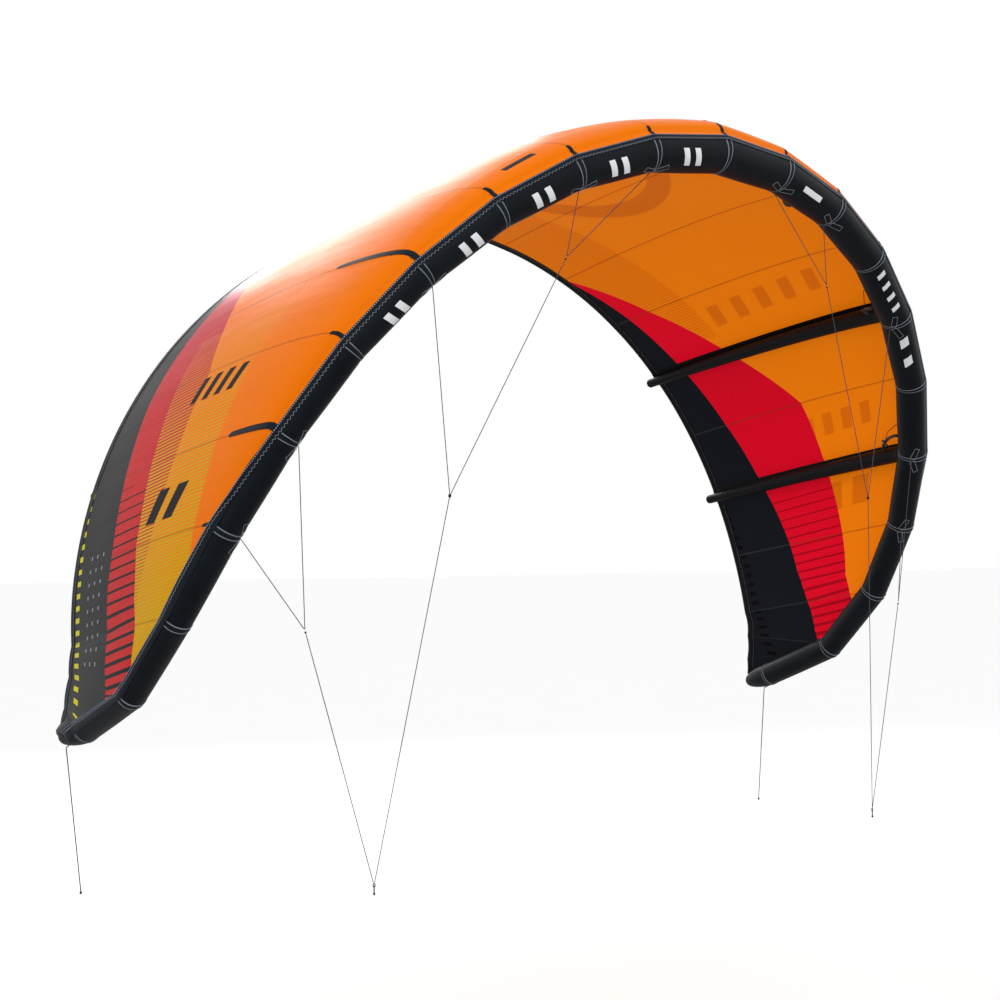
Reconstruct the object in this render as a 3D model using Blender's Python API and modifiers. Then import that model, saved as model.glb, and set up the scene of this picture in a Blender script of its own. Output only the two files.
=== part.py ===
"""An inflatable kitesurf kite of nine square metres, in its flying shape.

Frame: the origin is the centre of the leading edge tube at the middle seam.
+X points to the right wing, +Y back to the trailing edge, +Z up.
A station is a place along the span: 0 at the middle seam, 1 at the last seam
of the right wing, 1.1 at the end of the tube, and negative on the left wing.
Lengths are in metres. Angles are in radians unless their name ends in DEG.
"""

import math

import bmesh
import bpy
import numpy as np
from mathutils import Matrix, Vector

# Leading edge tube: ten straight panels in each half, kinked at the seams.
PANELS = 10
PANEL_LENGTH = 0.325
PANEL_GROWTH = 0.33
ARC_DEG = 92.0
ARC_POWER = 1.3
SWEEP_DEG = 40.6
TIP_SWEEP_DEG = 44.7
TIP_SWEEP_POWER = 7.3
LAST_SEAM_RADIUS = 0.0528
RADIUS_GAIN = 0.0208
RADIUS_POWER = 1.2
TUBE_END = (1.791, 1.702, -2.098)
TUBE_END_STATION = 1.1
TIP_END_STATIONS = (1.04, 1.07, 1.09, 1.1)
TIP_TAPER = 0.5
TIP_HOLE_SCALE = 0.45
TUBE_WALL = 0.0008
TUBE_SIDES = 16
STRUT_SIDES = 12
BLADDER_SIDES = 8

# Trailing edge: swept back by y, standing off the tube by h outward and g sideways.
TRAILING_DROP = 0.121
TRAILING_Y = (1.836, 0.228, -0.238)
TRAILING_H = (0.235, -0.176, -0.126)
TRAILING_G = (0.107, -0.102)
TRAILING_BEND_STATION = 0.8
TRAILING_SLOPE_STEP = 0.02
TRAILING_CORNER = (1.795, 1.716, -2.078)
TRAILING_CORNER_PULL = 0.15
CORNER_STATION = 1.08

# Canopy: front edge on the tube, a camber that is fullest a third of the way back.
FRONT_ANGLE = -0.45
CAMBER = (0.057, -0.053)
CAMBER_POWER = 0.45
CLOTH = 0.0015
HEM_CLOTH = 0.0026
HEM_WIDTH = 0.040
HEM_MOST_SHARE = 0.35
CLOTH_GAP = 0.004
SEAM_GAP = 0.0006
CLOTH_ROWS = 12
CLOTH_ROW_SPREAD = 1.6

# Struts, with their bladders, hoses and clips.
STRUT_STATIONS = {"centre": 0.0, "inner": 0.4, "outer": 0.6}
STRUT_FRONT_RADIUS = 0.037
STRUT_REAR_RADIUS = 0.021
STRUT_TAPER_POWER = 1.2
STRUT_OVERHANG = 0.032
STRUT_END_PLACES = (0.6, 0.9, 1.0)
STRUT_END_SCALES = (1.0, 0.85, 0.4)
STRUT_FRONT_GAP = 0.009
STRUT_CLOTH_GAP = 0.0015
STRUT_TUBE_WALL = 0.0008
BLADDER_WALL = 0.0005
BLADDER_GAP = 0.003
BLADDER_END_STATION = 1.05
HOSE_RADIUS = 0.007
HOSE_REACH = 0.085
HOSE_GAP = 0.0035
HOSE_ROOT_SHIFT = 0.024
HOSE_ROOT_DROP = 0.45
HOSE_END_DROP = 0.35
HOSE_EASE = 0.10
CLIP_SIZE = (0.034, 0.010, 0.008)
CLIP_HINGE_INSET = 0.004
CLIP_BEVEL = 0.0015
CLIP_GAP = 0.001

# Inflation valve on the leading edge.
VALVE_STATION = 0.15
VALVE_ANGLE = 2.0
VALVE_RADIUS = 0.024
VALVE_HEIGHT = 0.008
VALVE_CAP_RADIUS = 0.018
VALVE_SIDES = 20
VALVE_GAP = 0.001
VALVE_CAP_GAP = 0.0006

# Bridle: junctions on the right wing, the left wing mirrors them.
LINE_RADIUS = 0.0015
LINE_TUBE_GAP = 0.0015
LINE_TURN = 0.006
KNOT_RADIUS = 0.006
UPPER_JUNCTION = (0.643, 0.074, -0.421)
MIDDLE_JUNCTION = (1.034, 0.233, -1.235)
LOWER_JUNCTION = (1.467, 0.458, -1.673)
FRONT_ATTACHMENT = (1.234, 0.422, -2.534)
UPPER_SEAMS = (0.1, 0.2)
MIDDLE_SEAM = 0.4
LOWER_SEAMS = (0.6, 0.7)
FRONT_LOOP_DROP = 0.034
BACK_ATTACHMENT = (1.814, 1.618, -2.128)
BACK_LINE_END = (1.762, 1.618, -2.664)
BACK_LINE_RADIUS = 0.0021
BACK_LINE_TOP_GAP = 0.003
TIP_LOOP_SIZE = (0.010, 0.024, 0.010)
TIP_LOOP_LIFT = 0.006
STOPPER_RADIUS = 0.007
STOPPER_LENGTH = 0.014
STOPPER_DROP = 0.0012
STOPPER_LINE_GAP = 0.002

EDGE_BEVEL = 0.001
TOUCH_GAP = 0.0004

COLLECTION = "kitesurf_kite"
COLOURS = {
    "black_dacron": ((0.012, 0.014, 0.02), 0.6),
    "orange_ripstop": ((0.9, 0.22, 0.01), 0.5),
    "black_hem": ((0.01, 0.01, 0.012), 0.65),
    "clear_bladder": ((0.75, 0.78, 0.8), 0.3),
    "black_rubber": ((0.02, 0.02, 0.02), 0.7),
    "black_plastic": ((0.03, 0.03, 0.032), 0.4),
    "grey_line": ((0.55, 0.55, 0.57), 0.6),
    "black_webbing": ((0.02, 0.02, 0.02), 0.8),
}


def clear_scene():
    for item in list(bpy.data.objects):
        bpy.data.objects.remove(item, do_unlink=True)


def make_materials():
    made = {}
    for name, (colour, roughness) in COLOURS.items():
        made[name] = bpy.data.materials.new(name)
        made[name].use_nodes = True
        shader = made[name].node_tree.nodes["Principled BSDF"]
        shader.inputs["Base Color"].default_value = (*colour, 1.0)
        shader.inputs["Roughness"].default_value = roughness
        shader.inputs["Metallic"].default_value = 0.0
    return made


def unit(vectors):
    vectors = np.asarray(vectors, float)
    return vectors / np.linalg.norm(vectors, axis=-1, keepdims=True)


# ---------------------------------------------------------------- shape of the wing


def turn_angle(station):
    """How far the canopy's outward direction has turned from +Z towards +X."""
    left = np.clip(1 - np.abs(station), 0, 1)
    return math.radians(ARC_DEG) * (1 - left**ARC_POWER)


def seam_centres():
    """Tube centres at the seams of the right half, and the tube's end."""
    middle = (np.arange(PANELS) + 0.5) / PANELS
    length = PANEL_LENGTH * (1 + PANEL_GROWTH * middle**2)
    turn = turn_angle(middle)
    sweep = np.radians(SWEEP_DEG * middle + TIP_SWEEP_DEG * middle**TIP_SWEEP_POWER)
    across = np.cos(turn) * np.cos(sweep)
    steps = np.stack([across, np.sin(sweep), -np.sin(turn) * np.cos(sweep)], axis=1)
    seams = np.cumsum(steps * length[:, None], axis=0)
    return np.vstack([np.zeros((1, 3)), seams, TUBE_END])


SEAMS = seam_centres()
SEAM_STATIONS = np.append(np.arange(PANELS + 1) / PANELS, TUBE_END_STATION)


def mirrored(points, station):
    """Turns points of the right half over to the left where the station is negative."""
    side = np.where(np.asarray(station) < 0, -1.0, 1.0)
    return points * np.stack([side, np.ones_like(side), np.ones_like(side)], axis=-1)


def tube_centre(station):
    """The centre of the leading edge tube."""
    far = np.abs(np.asarray(station, float))
    centre = [np.interp(far, SEAM_STATIONS, SEAMS[:, axis]) for axis in range(3)]
    return mirrored(np.stack(centre, axis=-1), station)


def tube_radius(station):
    far = np.abs(np.asarray(station, float))
    radius = LAST_SEAM_RADIUS + RADIUS_GAIN * np.clip(1 - far, 0, 1) ** RADIUS_POWER
    past = np.clip((far - 1) / (TUBE_END_STATION - 1), 0, 1)
    return radius * (1 - TIP_TAPER * past**2)


def tube_axis(station):
    """The direction of the tube, which at a seam halves the kink."""
    station = np.asarray(station, float)
    step = 0.004
    ahead = np.minimum(station + step, TUBE_END_STATION)
    behind = np.maximum(station - step, -TUBE_END_STATION)
    before = tube_centre(station) - tube_centre(behind)
    after = tube_centre(ahead) - tube_centre(station)
    return unit(before + after)


def outward(station):
    """The canopy's outward direction, square to +Y."""
    turn = turn_angle(station)
    normal = np.stack([np.sin(turn), np.zeros_like(turn), np.cos(turn)], axis=-1)
    return mirrored(normal, station)


def sideways(station):
    """The direction along the arc towards the tip, square to +Y."""
    turn = turn_angle(station)
    along = np.stack([np.cos(turn), np.zeros_like(turn), -np.sin(turn)], axis=-1)
    return mirrored(along, station)


def swept_trailing_edge(station):
    """The trailing edge of the right half by its three offsets, tips aside."""
    far = np.asarray(station, float)
    back = np.array([0.0, math.cos(TRAILING_DROP), -math.sin(TRAILING_DROP)])
    centre = tube_centre(far)
    y, h, g = TRAILING_Y, TRAILING_H, TRAILING_G
    reach = y[0] + y[1] * far**2 + y[2] * far**4 - centre @ back
    height = h[0] + h[1] * far + h[2] * far**2
    side = g[0] * far + g[1] * far**2
    edge = centre + back * reach[..., None]
    return edge + outward(far) * height[..., None] + sideways(far) * side[..., None]


def trailing_edge(station):
    """The trailing edge: near the tip it runs on a cubic curve down to the corner."""
    far = np.abs(np.asarray(station, float))
    edge = swept_trailing_edge(np.minimum(far, TRAILING_BEND_STATION))
    bend = np.array(TRAILING_BEND_STATION)
    start = swept_trailing_edge(bend)
    corner = np.array(TRAILING_CORNER)
    slope = unit(start - swept_trailing_edge(bend - TRAILING_SLOPE_STEP))
    span = CORNER_STATION - TRAILING_BEND_STATION
    u = np.clip((far - TRAILING_BEND_STATION) / span, 0, 1)[..., None]
    size = np.linalg.norm(corner - start)
    end_slope = unit(corner - start - TRAILING_CORNER_PULL * size * slope)
    cubic = (2 * u**3 - 3 * u**2 + 1) * start + (u**3 - 2 * u**2 + u) * size * slope
    cubic = cubic + (3 * u**2 - 2 * u**3) * corner + (u**3 - u**2) * size * end_slope
    edge = np.where(u > 0, cubic, edge)
    return mirrored(edge, station)


def front_edge(station):
    """Where the canopy is sewn to the tube, forward of its outermost line."""
    radius = (tube_radius(station) + CLOTH_GAP)[..., None]
    forward = np.array([0.0, 1.0, 0.0]) * math.sin(FRONT_ANGLE)
    return tube_centre(station) + radius * (outward(station) * math.cos(FRONT_ANGLE) + forward)


def canopy_point(station, chordwise):
    """The canopy surface: chordwise is 0 at the front edge and 1 at the trailing edge."""
    station, chordwise = np.broadcast_arrays(np.asarray(station, float), chordwise)
    front, rear = front_edge(station), trailing_edge(station)
    chord = np.linalg.norm(rear - front, axis=-1)
    peak = CAMBER_POWER / (1 + CAMBER_POWER)
    top = peak**CAMBER_POWER * (1 - peak)
    shape = np.maximum(chordwise, 0) ** CAMBER_POWER * np.maximum(1 - chordwise, 0) / top
    rise = (CAMBER[0] + CAMBER[1] * np.minimum(np.abs(station), 1)) * chord * shape
    along = chordwise[..., None]
    point = front * (1 - along) + rear * along + outward(station) * rise[..., None]
    return clear_of_tube(point, station)


def clear_of_tube(point, station):
    """Moves a point straight out from the tube's centre where it comes too near."""
    along = tube_axis(station)
    centre = tube_centre(station)
    away = point - centre
    away = away - along * np.sum(away * along, axis=-1, keepdims=True)
    distance = np.linalg.norm(away, axis=-1, keepdims=True)
    least = (tube_radius(station) + CLOTH_GAP)[..., None]
    return point + away / distance * np.maximum(least - distance, 0)


def chord_at(station):
    station = np.asarray(station, float)
    return np.linalg.norm(trailing_edge(station) - front_edge(station), axis=-1)


def hem_start(station):
    """The chordwise place where the hem's front edge lies."""
    return 1 - np.minimum(HEM_WIDTH / chord_at(station), HEM_MOST_SHARE)


# ---------------------------------------------------------------- building blocks


def put(item, slot, materials):
    """Gives an item its material and adds it to the kite."""
    item.data.materials.clear()
    item.data.materials.append(materials[slot])
    bpy.data.collections[COLLECTION].objects.link(item)
    return item


def smooth(mesh, angle=60):
    mesh.shade_smooth()
    mesh.set_sharp_from_angle(angle=math.radians(angle))


def add_solidify(item, thickness, offset):
    wall = item.modifiers.new("wall", "SOLIDIFY")
    wall.thickness = thickness
    wall.offset = offset
    wall.use_even_offset = False


def loft(name, rings, wall, slot, materials):
    """A tube through rings of unlike size, open at both ends, with its wall inside."""
    count, sides, _ = rings.shape
    index = np.arange(count * sides).reshape(count, sides)
    low, high = index[:-1], index[1:]
    faces = np.stack([low, np.roll(low, -1, 1), np.roll(high, -1, 1), high], axis=-1)
    faces = faces.reshape(-1, 4)
    points = rings.reshape(-1, 3)
    a, b, c = points[faces[0, 0]], points[faces[0, 1]], points[faces[0, 3]]
    if np.cross(b - a, c - a) @ (a - rings[0].mean(axis=0)) < 0:
        faces = faces[:, ::-1]
    mesh = bpy.data.meshes.new(name)
    mesh.from_pydata(points.tolist(), [], faces.tolist())
    smooth(mesh)
    item = bpy.data.objects.new(name, mesh)
    add_solidify(item, wall, -1.0)
    return put(item, slot, materials)


def rings_along(centres, normals, radii, sides=TUBE_SIDES):
    """Circles square to a path, one at each of its points."""
    path = np.gradient(centres, axis=0)
    along = unit(path)
    up = normals - along * np.sum(normals * along, axis=1, keepdims=True)
    up = unit(up)
    across = np.cross(along, up)
    angle = 2 * math.pi * np.arange(sides) / sides
    up = up[:, None] * np.cos(angle)[None, :, None]
    across = across[:, None] * np.sin(angle)[None, :, None]
    return centres[:, None] + np.asarray(radii)[:, None, None] * (up + across)


def seam_rings(stations, inset=0.0, sides=TUBE_SIDES):
    """Circles of the leading edge tube in the planes that halve its kinks."""
    stations = np.asarray(stations, float)
    centre = tube_centre(stations)
    along = tube_axis(stations)
    normal = outward(stations)
    up = unit(normal - along * np.sum(normal * along, axis=1, keepdims=True))
    across = np.cross(along, up)
    angle = 2 * math.pi * np.arange(sides) / sides
    radius = (tube_radius(stations) - inset)[:, None, None]
    circle = up[:, None] * np.cos(angle)[None, :, None] + across[:, None] * np.sin(angle)[None, :, None]
    return centre[:, None] + radius * circle


def cloth(name, stations, chordwise, thickness, slot, materials):
    """A sheet of cloth: a flat grid laid on the canopy surface, given its thickness."""
    columns, rows = chordwise.shape
    form = bmesh.new()
    bmesh.ops.create_grid(form, x_segments=columns - 1, y_segments=rows - 1, size=1.0)
    mesh = bpy.data.meshes.new(name)
    form.to_mesh(mesh)
    form.free()
    flat = np.empty(len(mesh.vertices) * 3)
    mesh.vertices.foreach_get("co", flat)
    flat = flat.reshape(-1, 3)
    column = np.rint((flat[:, 0] + 1) / 2 * (columns - 1)).astype(int)
    row = np.rint((flat[:, 1] + 1) / 2 * (rows - 1)).astype(int)
    points = canopy_point(np.asarray(stations)[column], chordwise[column, row])
    mesh.vertices.foreach_set("co", points.ravel())
    mesh.update()
    smooth(mesh)
    item = bpy.data.objects.new(name, mesh)
    add_solidify(item, thickness, 0.0)
    return put(item, slot, materials)


def tube(name, points, radii, slot, materials, resolution=2):
    """A solid round tube along a path, with flat ends."""
    radii = np.broadcast_to(radii, len(points))
    curve = bpy.data.curves.new(name, "CURVE")
    curve.dimensions = "3D"
    curve.bevel_depth = float(radii.max())
    curve.bevel_resolution = resolution
    curve.use_fill_caps = True
    spline = curve.splines.new("POLY")
    spline.points.add(len(points) - 1)
    for place, point, radius in zip(spline.points, points, radii):
        place.co = (*point, 1.0)
        place.radius = radius / curve.bevel_depth
    return put(bpy.data.objects.new(name, curve), slot, materials)


def turned(name, radius, length, slot, materials, sides=12):
    """A short round piece from z = 0 down to z = -length, with its origin on top."""
    form = bmesh.new()
    middle = Matrix.Translation((0, 0, -length / 2))
    bmesh.ops.create_cone(
        form, cap_ends=True, segments=sides, radius1=radius, radius2=radius, depth=length, matrix=middle
    )
    mesh = bpy.data.meshes.new(name)
    form.to_mesh(mesh)
    form.free()
    smooth(mesh, 40)
    item = bpy.data.objects.new(name, mesh)
    edge = item.modifiers.new("edge", "BEVEL")
    edge.width = EDGE_BEVEL
    edge.segments = 1
    edge.limit_method = "ANGLE"
    return put(item, slot, materials)


def block(name, size, middle, bevel, slot, materials):
    """A box with bevelled edges."""
    form = bmesh.new()
    shape = Matrix.Translation(middle) @ Matrix.Diagonal((*size, 1.0))
    bmesh.ops.create_cube(form, size=1.0, matrix=shape)
    mesh = bpy.data.meshes.new(name)
    form.to_mesh(mesh)
    form.free()
    item = bpy.data.objects.new(name, mesh)
    edge = item.modifiers.new("edge", "BEVEL")
    edge.width = bevel
    edge.segments = 2
    edge.limit_method = "ANGLE"
    return put(item, slot, materials)


def stand(item, origin, up, along):
    """Places an item with its z axis along up and its x axis near along."""
    z = Vector(up).normalized()
    x = Vector(along)
    x = (x - z * x.dot(z)).normalized()
    y = z.cross(x)
    turn = Matrix((x, y, z)).transposed().to_4x4()
    item.matrix_world = Matrix.Translation(Vector(origin)) @ turn


def mirror_copy(item, name):
    """The left wing's copy of a right wing piece."""
    other = item.copy()
    other.name = name
    other.matrix_world = Matrix.Diagonal((-1, 1, 1, 1)) @ item.matrix_basis
    bpy.data.collections[COLLECTION].objects.link(other)
    return other


# ---------------------------------------------------------------- the pieces


def make_leading_edge(materials):
    """The tube's cloth casing in three lengths, and the bladder inside it."""
    inner = STRUT_STATIONS["inner"]
    cut = SEAM_GAP / (2 * PANELS * PANEL_LENGTH)
    middle = np.arange(-3, 4) / PANELS
    middle = np.concatenate([[-inner + cut], middle, [inner - cut]])
    loft("leading_edge_centre", seam_rings(middle), TUBE_WALL, "black_dacron", materials)
    wing = np.concatenate([[inner + cut], np.arange(5, PANELS + 1) / PANELS, TIP_END_STATIONS])
    rings = seam_rings(wing)
    end = rings[-1].mean(axis=0)
    rings[-1] = end + (rings[-1] - end) * TIP_HOLE_SCALE
    right = loft("leading_edge_right", rings, TUBE_WALL, "black_dacron", materials)
    mirror_copy(right, "leading_edge_left")
    whole = np.arange(-PANELS, PANELS + 1) / PANELS
    whole = np.concatenate([[-BLADDER_END_STATION], whole, [BLADDER_END_STATION]])
    inside = seam_rings(whole, BLADDER_GAP, BLADDER_SIDES)
    loft("leading_edge_bladder", inside, BLADDER_WALL, "clear_bladder", materials)


def strut_path(station, steps=7):
    """Centres and radii of a strut from just behind the tube to past the hem."""
    sweep = math.asin(tube_axis(station)[1])
    behind = tube_radius(station) / math.cos(sweep) + STRUT_FRONT_RADIUS * abs(math.tan(sweep))
    front = behind - tube_radius(station) * math.sin(FRONT_ANGLE) + STRUT_FRONT_GAP
    front = float(front / chord_at(station))
    chordwise = np.linspace(front, 1.0, steps)
    radii = STRUT_FRONT_RADIUS + (STRUT_REAR_RADIUS - STRUT_FRONT_RADIUS) * chordwise**STRUT_TAPER_POWER
    down = outward(np.full(steps, station))
    drop = radii + HEM_CLOTH / 2 + STRUT_CLOTH_GAP
    centres = canopy_point(np.full(steps, station), chordwise) - down * drop[:, None]
    back = unit(centres[-1] - centres[-2])
    ends = np.array(STRUT_END_PLACES)[:, None] * STRUT_OVERHANG
    centres = np.vstack([centres, centres[-1] + back * ends])
    radii = np.concatenate([radii, radii[-1] * np.array(STRUT_END_SCALES)])
    return centres, radii


def make_strut(name, station, materials):
    """A strut's cloth casing and the bladder inside it."""
    centres, radii = strut_path(station)
    normals = outward(np.full(len(centres), station))
    rings = rings_along(centres, normals, radii, STRUT_SIDES)
    casing = loft("strut_" + name, rings, STRUT_TUBE_WALL, "black_dacron", materials)
    inside = rings_along(centres[:-2], normals[:-2], radii[:-2] - BLADDER_GAP, BLADDER_SIDES)
    bladder = loft("strut_bladder_" + name, inside, BLADDER_WALL, "clear_bladder", materials)
    return casing, bladder


def hermite(start, start_slope, end, end_slope, count):
    """Points of the cubic curve between two places with two given slopes."""
    u = np.linspace(0, 1, count)[:, None]
    path = (2 * u**3 - 3 * u**2 + 1) * start + (u**3 - 2 * u**2 + u) * start_slope
    return path + (3 * u**2 - 2 * u**3) * end + (u**3 - u**2) * end_slope


def make_hose(name, station, materials):
    """A short hose from the tube to the strut's side, and the clip that pinches it."""
    toward_middle = -1.0 if station > 0 else 1.0
    root = np.array(station + toward_middle * HOSE_ROOT_SHIFT)
    up, along = outward(root), sideways(root)
    leave = unit(np.array([0.0, 1.0, 0.0]) - HOSE_ROOT_DROP * up)
    axis = tube_axis(root)
    leave = unit(leave - axis * (leave @ axis))
    start = tube_centre(root) + leave * (tube_radius(root) + HOSE_GAP)
    centres, radii = strut_path(station)
    fraction = HOSE_REACH / np.linalg.norm(centres[1] - centres[0])
    centre = centres[0] + (centres[1] - centres[0]) * fraction
    side = unit(toward_middle * along - HOSE_END_DROP * up)
    end = centre + side * (radii[0] + HOSE_GAP)
    path = hermite(start, leave * HOSE_EASE, end, -side * HOSE_EASE, 9)
    hose = tube("inflation_hose_" + name, path, HOSE_RADIUS, "black_rubber", materials)
    middle = path[4]
    run = unit(path[5] - path[3])
    off = unit(-up + run * (up @ run))
    size = CLIP_SIZE
    centre = (size[0] / 2 - CLIP_HINGE_INSET, 0, size[2] / 2)
    clip = block("hose_clip_" + name, size, centre, CLIP_BEVEL, "black_plastic", materials)
    across = np.cross(run, off)
    origin = middle + off * (HOSE_RADIUS + CLIP_GAP) - across * size[0] / 2
    stand(clip, origin, off, across)
    return hose, clip


def make_valve(materials):
    """The inflation valve's base on the tube, and its hinged cap."""
    place = np.array(VALVE_STATION)
    up = outward(place)
    axis = tube_axis(place)
    up = unit(up - axis * (up @ axis))
    back = np.cross(up, axis)
    back = back if back[1] > 0 else -back
    away = math.cos(VALVE_ANGLE) * up + math.sin(VALVE_ANGLE) * back
    top = tube_centre(place) + away * (tube_radius(place) + VALVE_GAP + VALVE_HEIGHT)
    base = turned("inflate_valve_base", VALVE_RADIUS, VALVE_HEIGHT, "black_plastic", materials, VALVE_SIDES)
    stand(base, top, away, axis)
    height = VALVE_HEIGHT
    cap = turned("inflate_valve_cap", VALVE_CAP_RADIUS, height, "black_rubber", materials, VALVE_SIDES)
    cap.data.transform(Matrix.Translation((0, VALVE_CAP_RADIUS, height)))
    hinge = np.cross(away, axis)
    stand(cap, top + away * VALVE_CAP_GAP - hinge * VALVE_CAP_RADIUS, away, axis)


def half_stations():
    """Stations at each seam and halfway between seams, and on to the corner."""
    return np.append(np.arange(2 * PANELS + 1) / (2 * PANELS), [(1 + CORNER_STATION) / 2, CORNER_STATION])


def make_canopy(materials):
    """Six bays of cloth between the struts, and the hem along the rear edge."""
    inner, outer = STRUT_STATIONS["inner"], STRUT_STATIONS["outer"]
    bays = {"centre_right": (0.0, inner), "mid_right": (inner, outer), "tip_right": (outer, CORNER_STATION)}
    cut = SEAM_GAP / (PANELS * PANEL_LENGTH)
    rear_gap = SEAM_GAP * 2
    spread = np.linspace(0, 1, CLOTH_ROWS) ** CLOTH_ROW_SPREAD
    half = half_stations()
    for name, (near, far) in bays.items():
        stations = half[(half > near - cut) & (half < far + cut)]
        stations[0] += cut
        stations[-1] -= cut * (far < CORNER_STATION)
        rear = hem_start(stations) - rear_gap / chord_at(stations)
        chordwise = spread[None, :] * rear[:, None]
        right = cloth("canopy_" + name, stations, chordwise, CLOTH, "orange_ripstop", materials)
        mirror_copy(right, "canopy_" + name.replace("right", "left"))
    stations = np.concatenate([-half[:0:-1], half])
    start = hem_start(stations)
    chordwise = start[:, None] + (1 - start[:, None]) * np.array([0, 0.5, 1.0])
    cloth("trailing_edge_hem", stations, chordwise, HEM_CLOTH, "black_hem", materials)


def tube_foot(station, toward):
    """Where a bridle line leaves the tube's surface on its way to a point."""
    centre, axis = tube_centre(station), tube_axis(station)
    away = np.asarray(toward) - centre
    away = unit(away - axis * (away @ axis))
    return centre + away * (float(tube_radius(station)) + LINE_RADIUS + LINE_TUBE_GAP)


def straight(start, end, start_gap=0.0, end_gap=0.0, count=4):
    """Points of a taut line, drawn back from its two ends."""
    start, end = np.asarray(start, float), np.asarray(end, float)
    along = unit(end - start)
    start, end = start + along * start_gap, end - along * end_gap
    return start + (end - start) * np.linspace(0, 1, count)[:, None]


def vee(first, corner, last):
    """A line that runs down to a corner and up again, with a small round turn."""
    down = straight(first, corner, 0.0, LINE_TURN)
    up = straight(corner, last, LINE_TURN, 0.0)
    turn = ((down[-1] + up[0]) / 2 + np.asarray(corner)) / 2
    return np.vstack([down, turn[None], up])


def knot(name, centre, materials):
    """A small round knot where two bridle lines meet."""
    form = bmesh.new()
    bmesh.ops.create_uvsphere(form, u_segments=10, v_segments=6, radius=KNOT_RADIUS)
    mesh = bpy.data.meshes.new(name)
    form.to_mesh(mesh)
    form.free()
    mesh.shade_smooth()
    item = put(bpy.data.objects.new(name, mesh), "black_webbing", materials)
    item.location = centre
    return item


def make_bridle(materials):
    """The right wing's bridle lines, their knots and the loop for the front line."""
    made = []
    upper, middle = np.array(UPPER_JUNCTION), np.array(MIDDLE_JUNCTION)
    lower, attachment = np.array(LOWER_JUNCTION), np.array(FRONT_ATTACHMENT)
    clear = KNOT_RADIUS + TOUCH_GAP
    below = KNOT_RADIUS + LINE_RADIUS + TOUCH_GAP * 2
    upper_knot = upper + unit(middle - upper) * below
    lower_knot = lower + unit(attachment - lower) * below
    top = [tube_foot(seam, upper) for seam in UPPER_SEAMS]
    made.append(tube("bridle_upper_right", vee(top[0], upper, top[1]), LINE_RADIUS, "grey_line", materials))
    low = [tube_foot(seam, lower) for seam in LOWER_SEAMS]
    made.append(tube("bridle_lower_right", vee(low[0], lower, low[1]), LINE_RADIUS, "grey_line", materials))
    side = tube_foot(MIDDLE_SEAM, middle)
    runs = {
        "bridle_link_right": (upper_knot, middle, clear),
        "bridle_middle_right": (side, middle, 0.0),
        "bridle_main_right": (middle, attachment, clear),
        "bridle_tip_right": (lower_knot, attachment, clear),
    }
    for name, (start, end, start_gap) in runs.items():
        end_gap = clear if end is middle else STOPPER_RADIUS + STOPPER_LINE_GAP
        points = straight(start, end, start_gap, end_gap)
        made.append(tube(name, points, LINE_RADIUS, "grey_line", materials))
    for name, centre in (("upper", upper_knot), ("middle", middle), ("lower", lower_knot)):
        made.append(knot("bridle_knot_" + name + "_right", centre, materials))
    loop = turned("front_line_loop_right", STOPPER_RADIUS, FRONT_LOOP_DROP, "black_webbing", materials)
    loop.location = attachment
    made.append(loop)
    return made


def make_back_line(materials):
    """The webbing loop at the tube's end, the line that hangs from it and its stopper."""
    top, end = np.array(BACK_ATTACHMENT), np.array(BACK_LINE_END)
    lift = (0, 0, TIP_LOOP_LIFT)
    loop = block("tip_loop_right", TIP_LOOP_SIZE, lift, EDGE_BEVEL, "black_webbing", materials)
    loop.location = top
    route = straight(top, end, BACK_LINE_TOP_GAP, 0.0)
    line = tube("back_line_right", route, BACK_LINE_RADIUS, "grey_line", materials)
    stopper = turned("back_stopper_right", STOPPER_RADIUS, STOPPER_LENGTH, "black_webbing", materials)
    stopper.location = end - np.array([0, 0, STOPPER_DROP])
    return [loop, line, stopper]


def main():
    clear_scene()
    for old in list(bpy.data.collections):
        bpy.data.collections.remove(old)
    collection = bpy.data.collections.new(COLLECTION)
    bpy.context.scene.collection.children.link(collection)
    materials = make_materials()
    make_leading_edge(materials)
    make_canopy(materials)
    for name, station in STRUT_STATIONS.items():
        pieces = list(make_strut(name, station, materials)) + list(make_hose(name, station, materials))
        if station == 0:
            continue
        for piece in pieces:
            right = piece.name
            piece.name = right + "_right"
            mirror_copy(piece, right + "_left")
    make_valve(materials)
    for piece in make_bridle(materials) + make_back_line(materials):
        mirror_copy(piece, piece.name.replace("right", "left"))


main()
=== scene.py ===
"""Looks of the inflatable kitesurf kite: cloth, tube, struts, tapes, stitching and lines.

A station is a place along the span: 0 at the middle seam, 1 at the last seam of the
right wing, 1.1 at the tube's end, and negative on the left wing. A chordwise value is
0 where the cloth leaves the tube and 1 at the trailing edge.
"""

import math

import bpy
import numpy as np
from mathutils import Matrix, Vector


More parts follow.
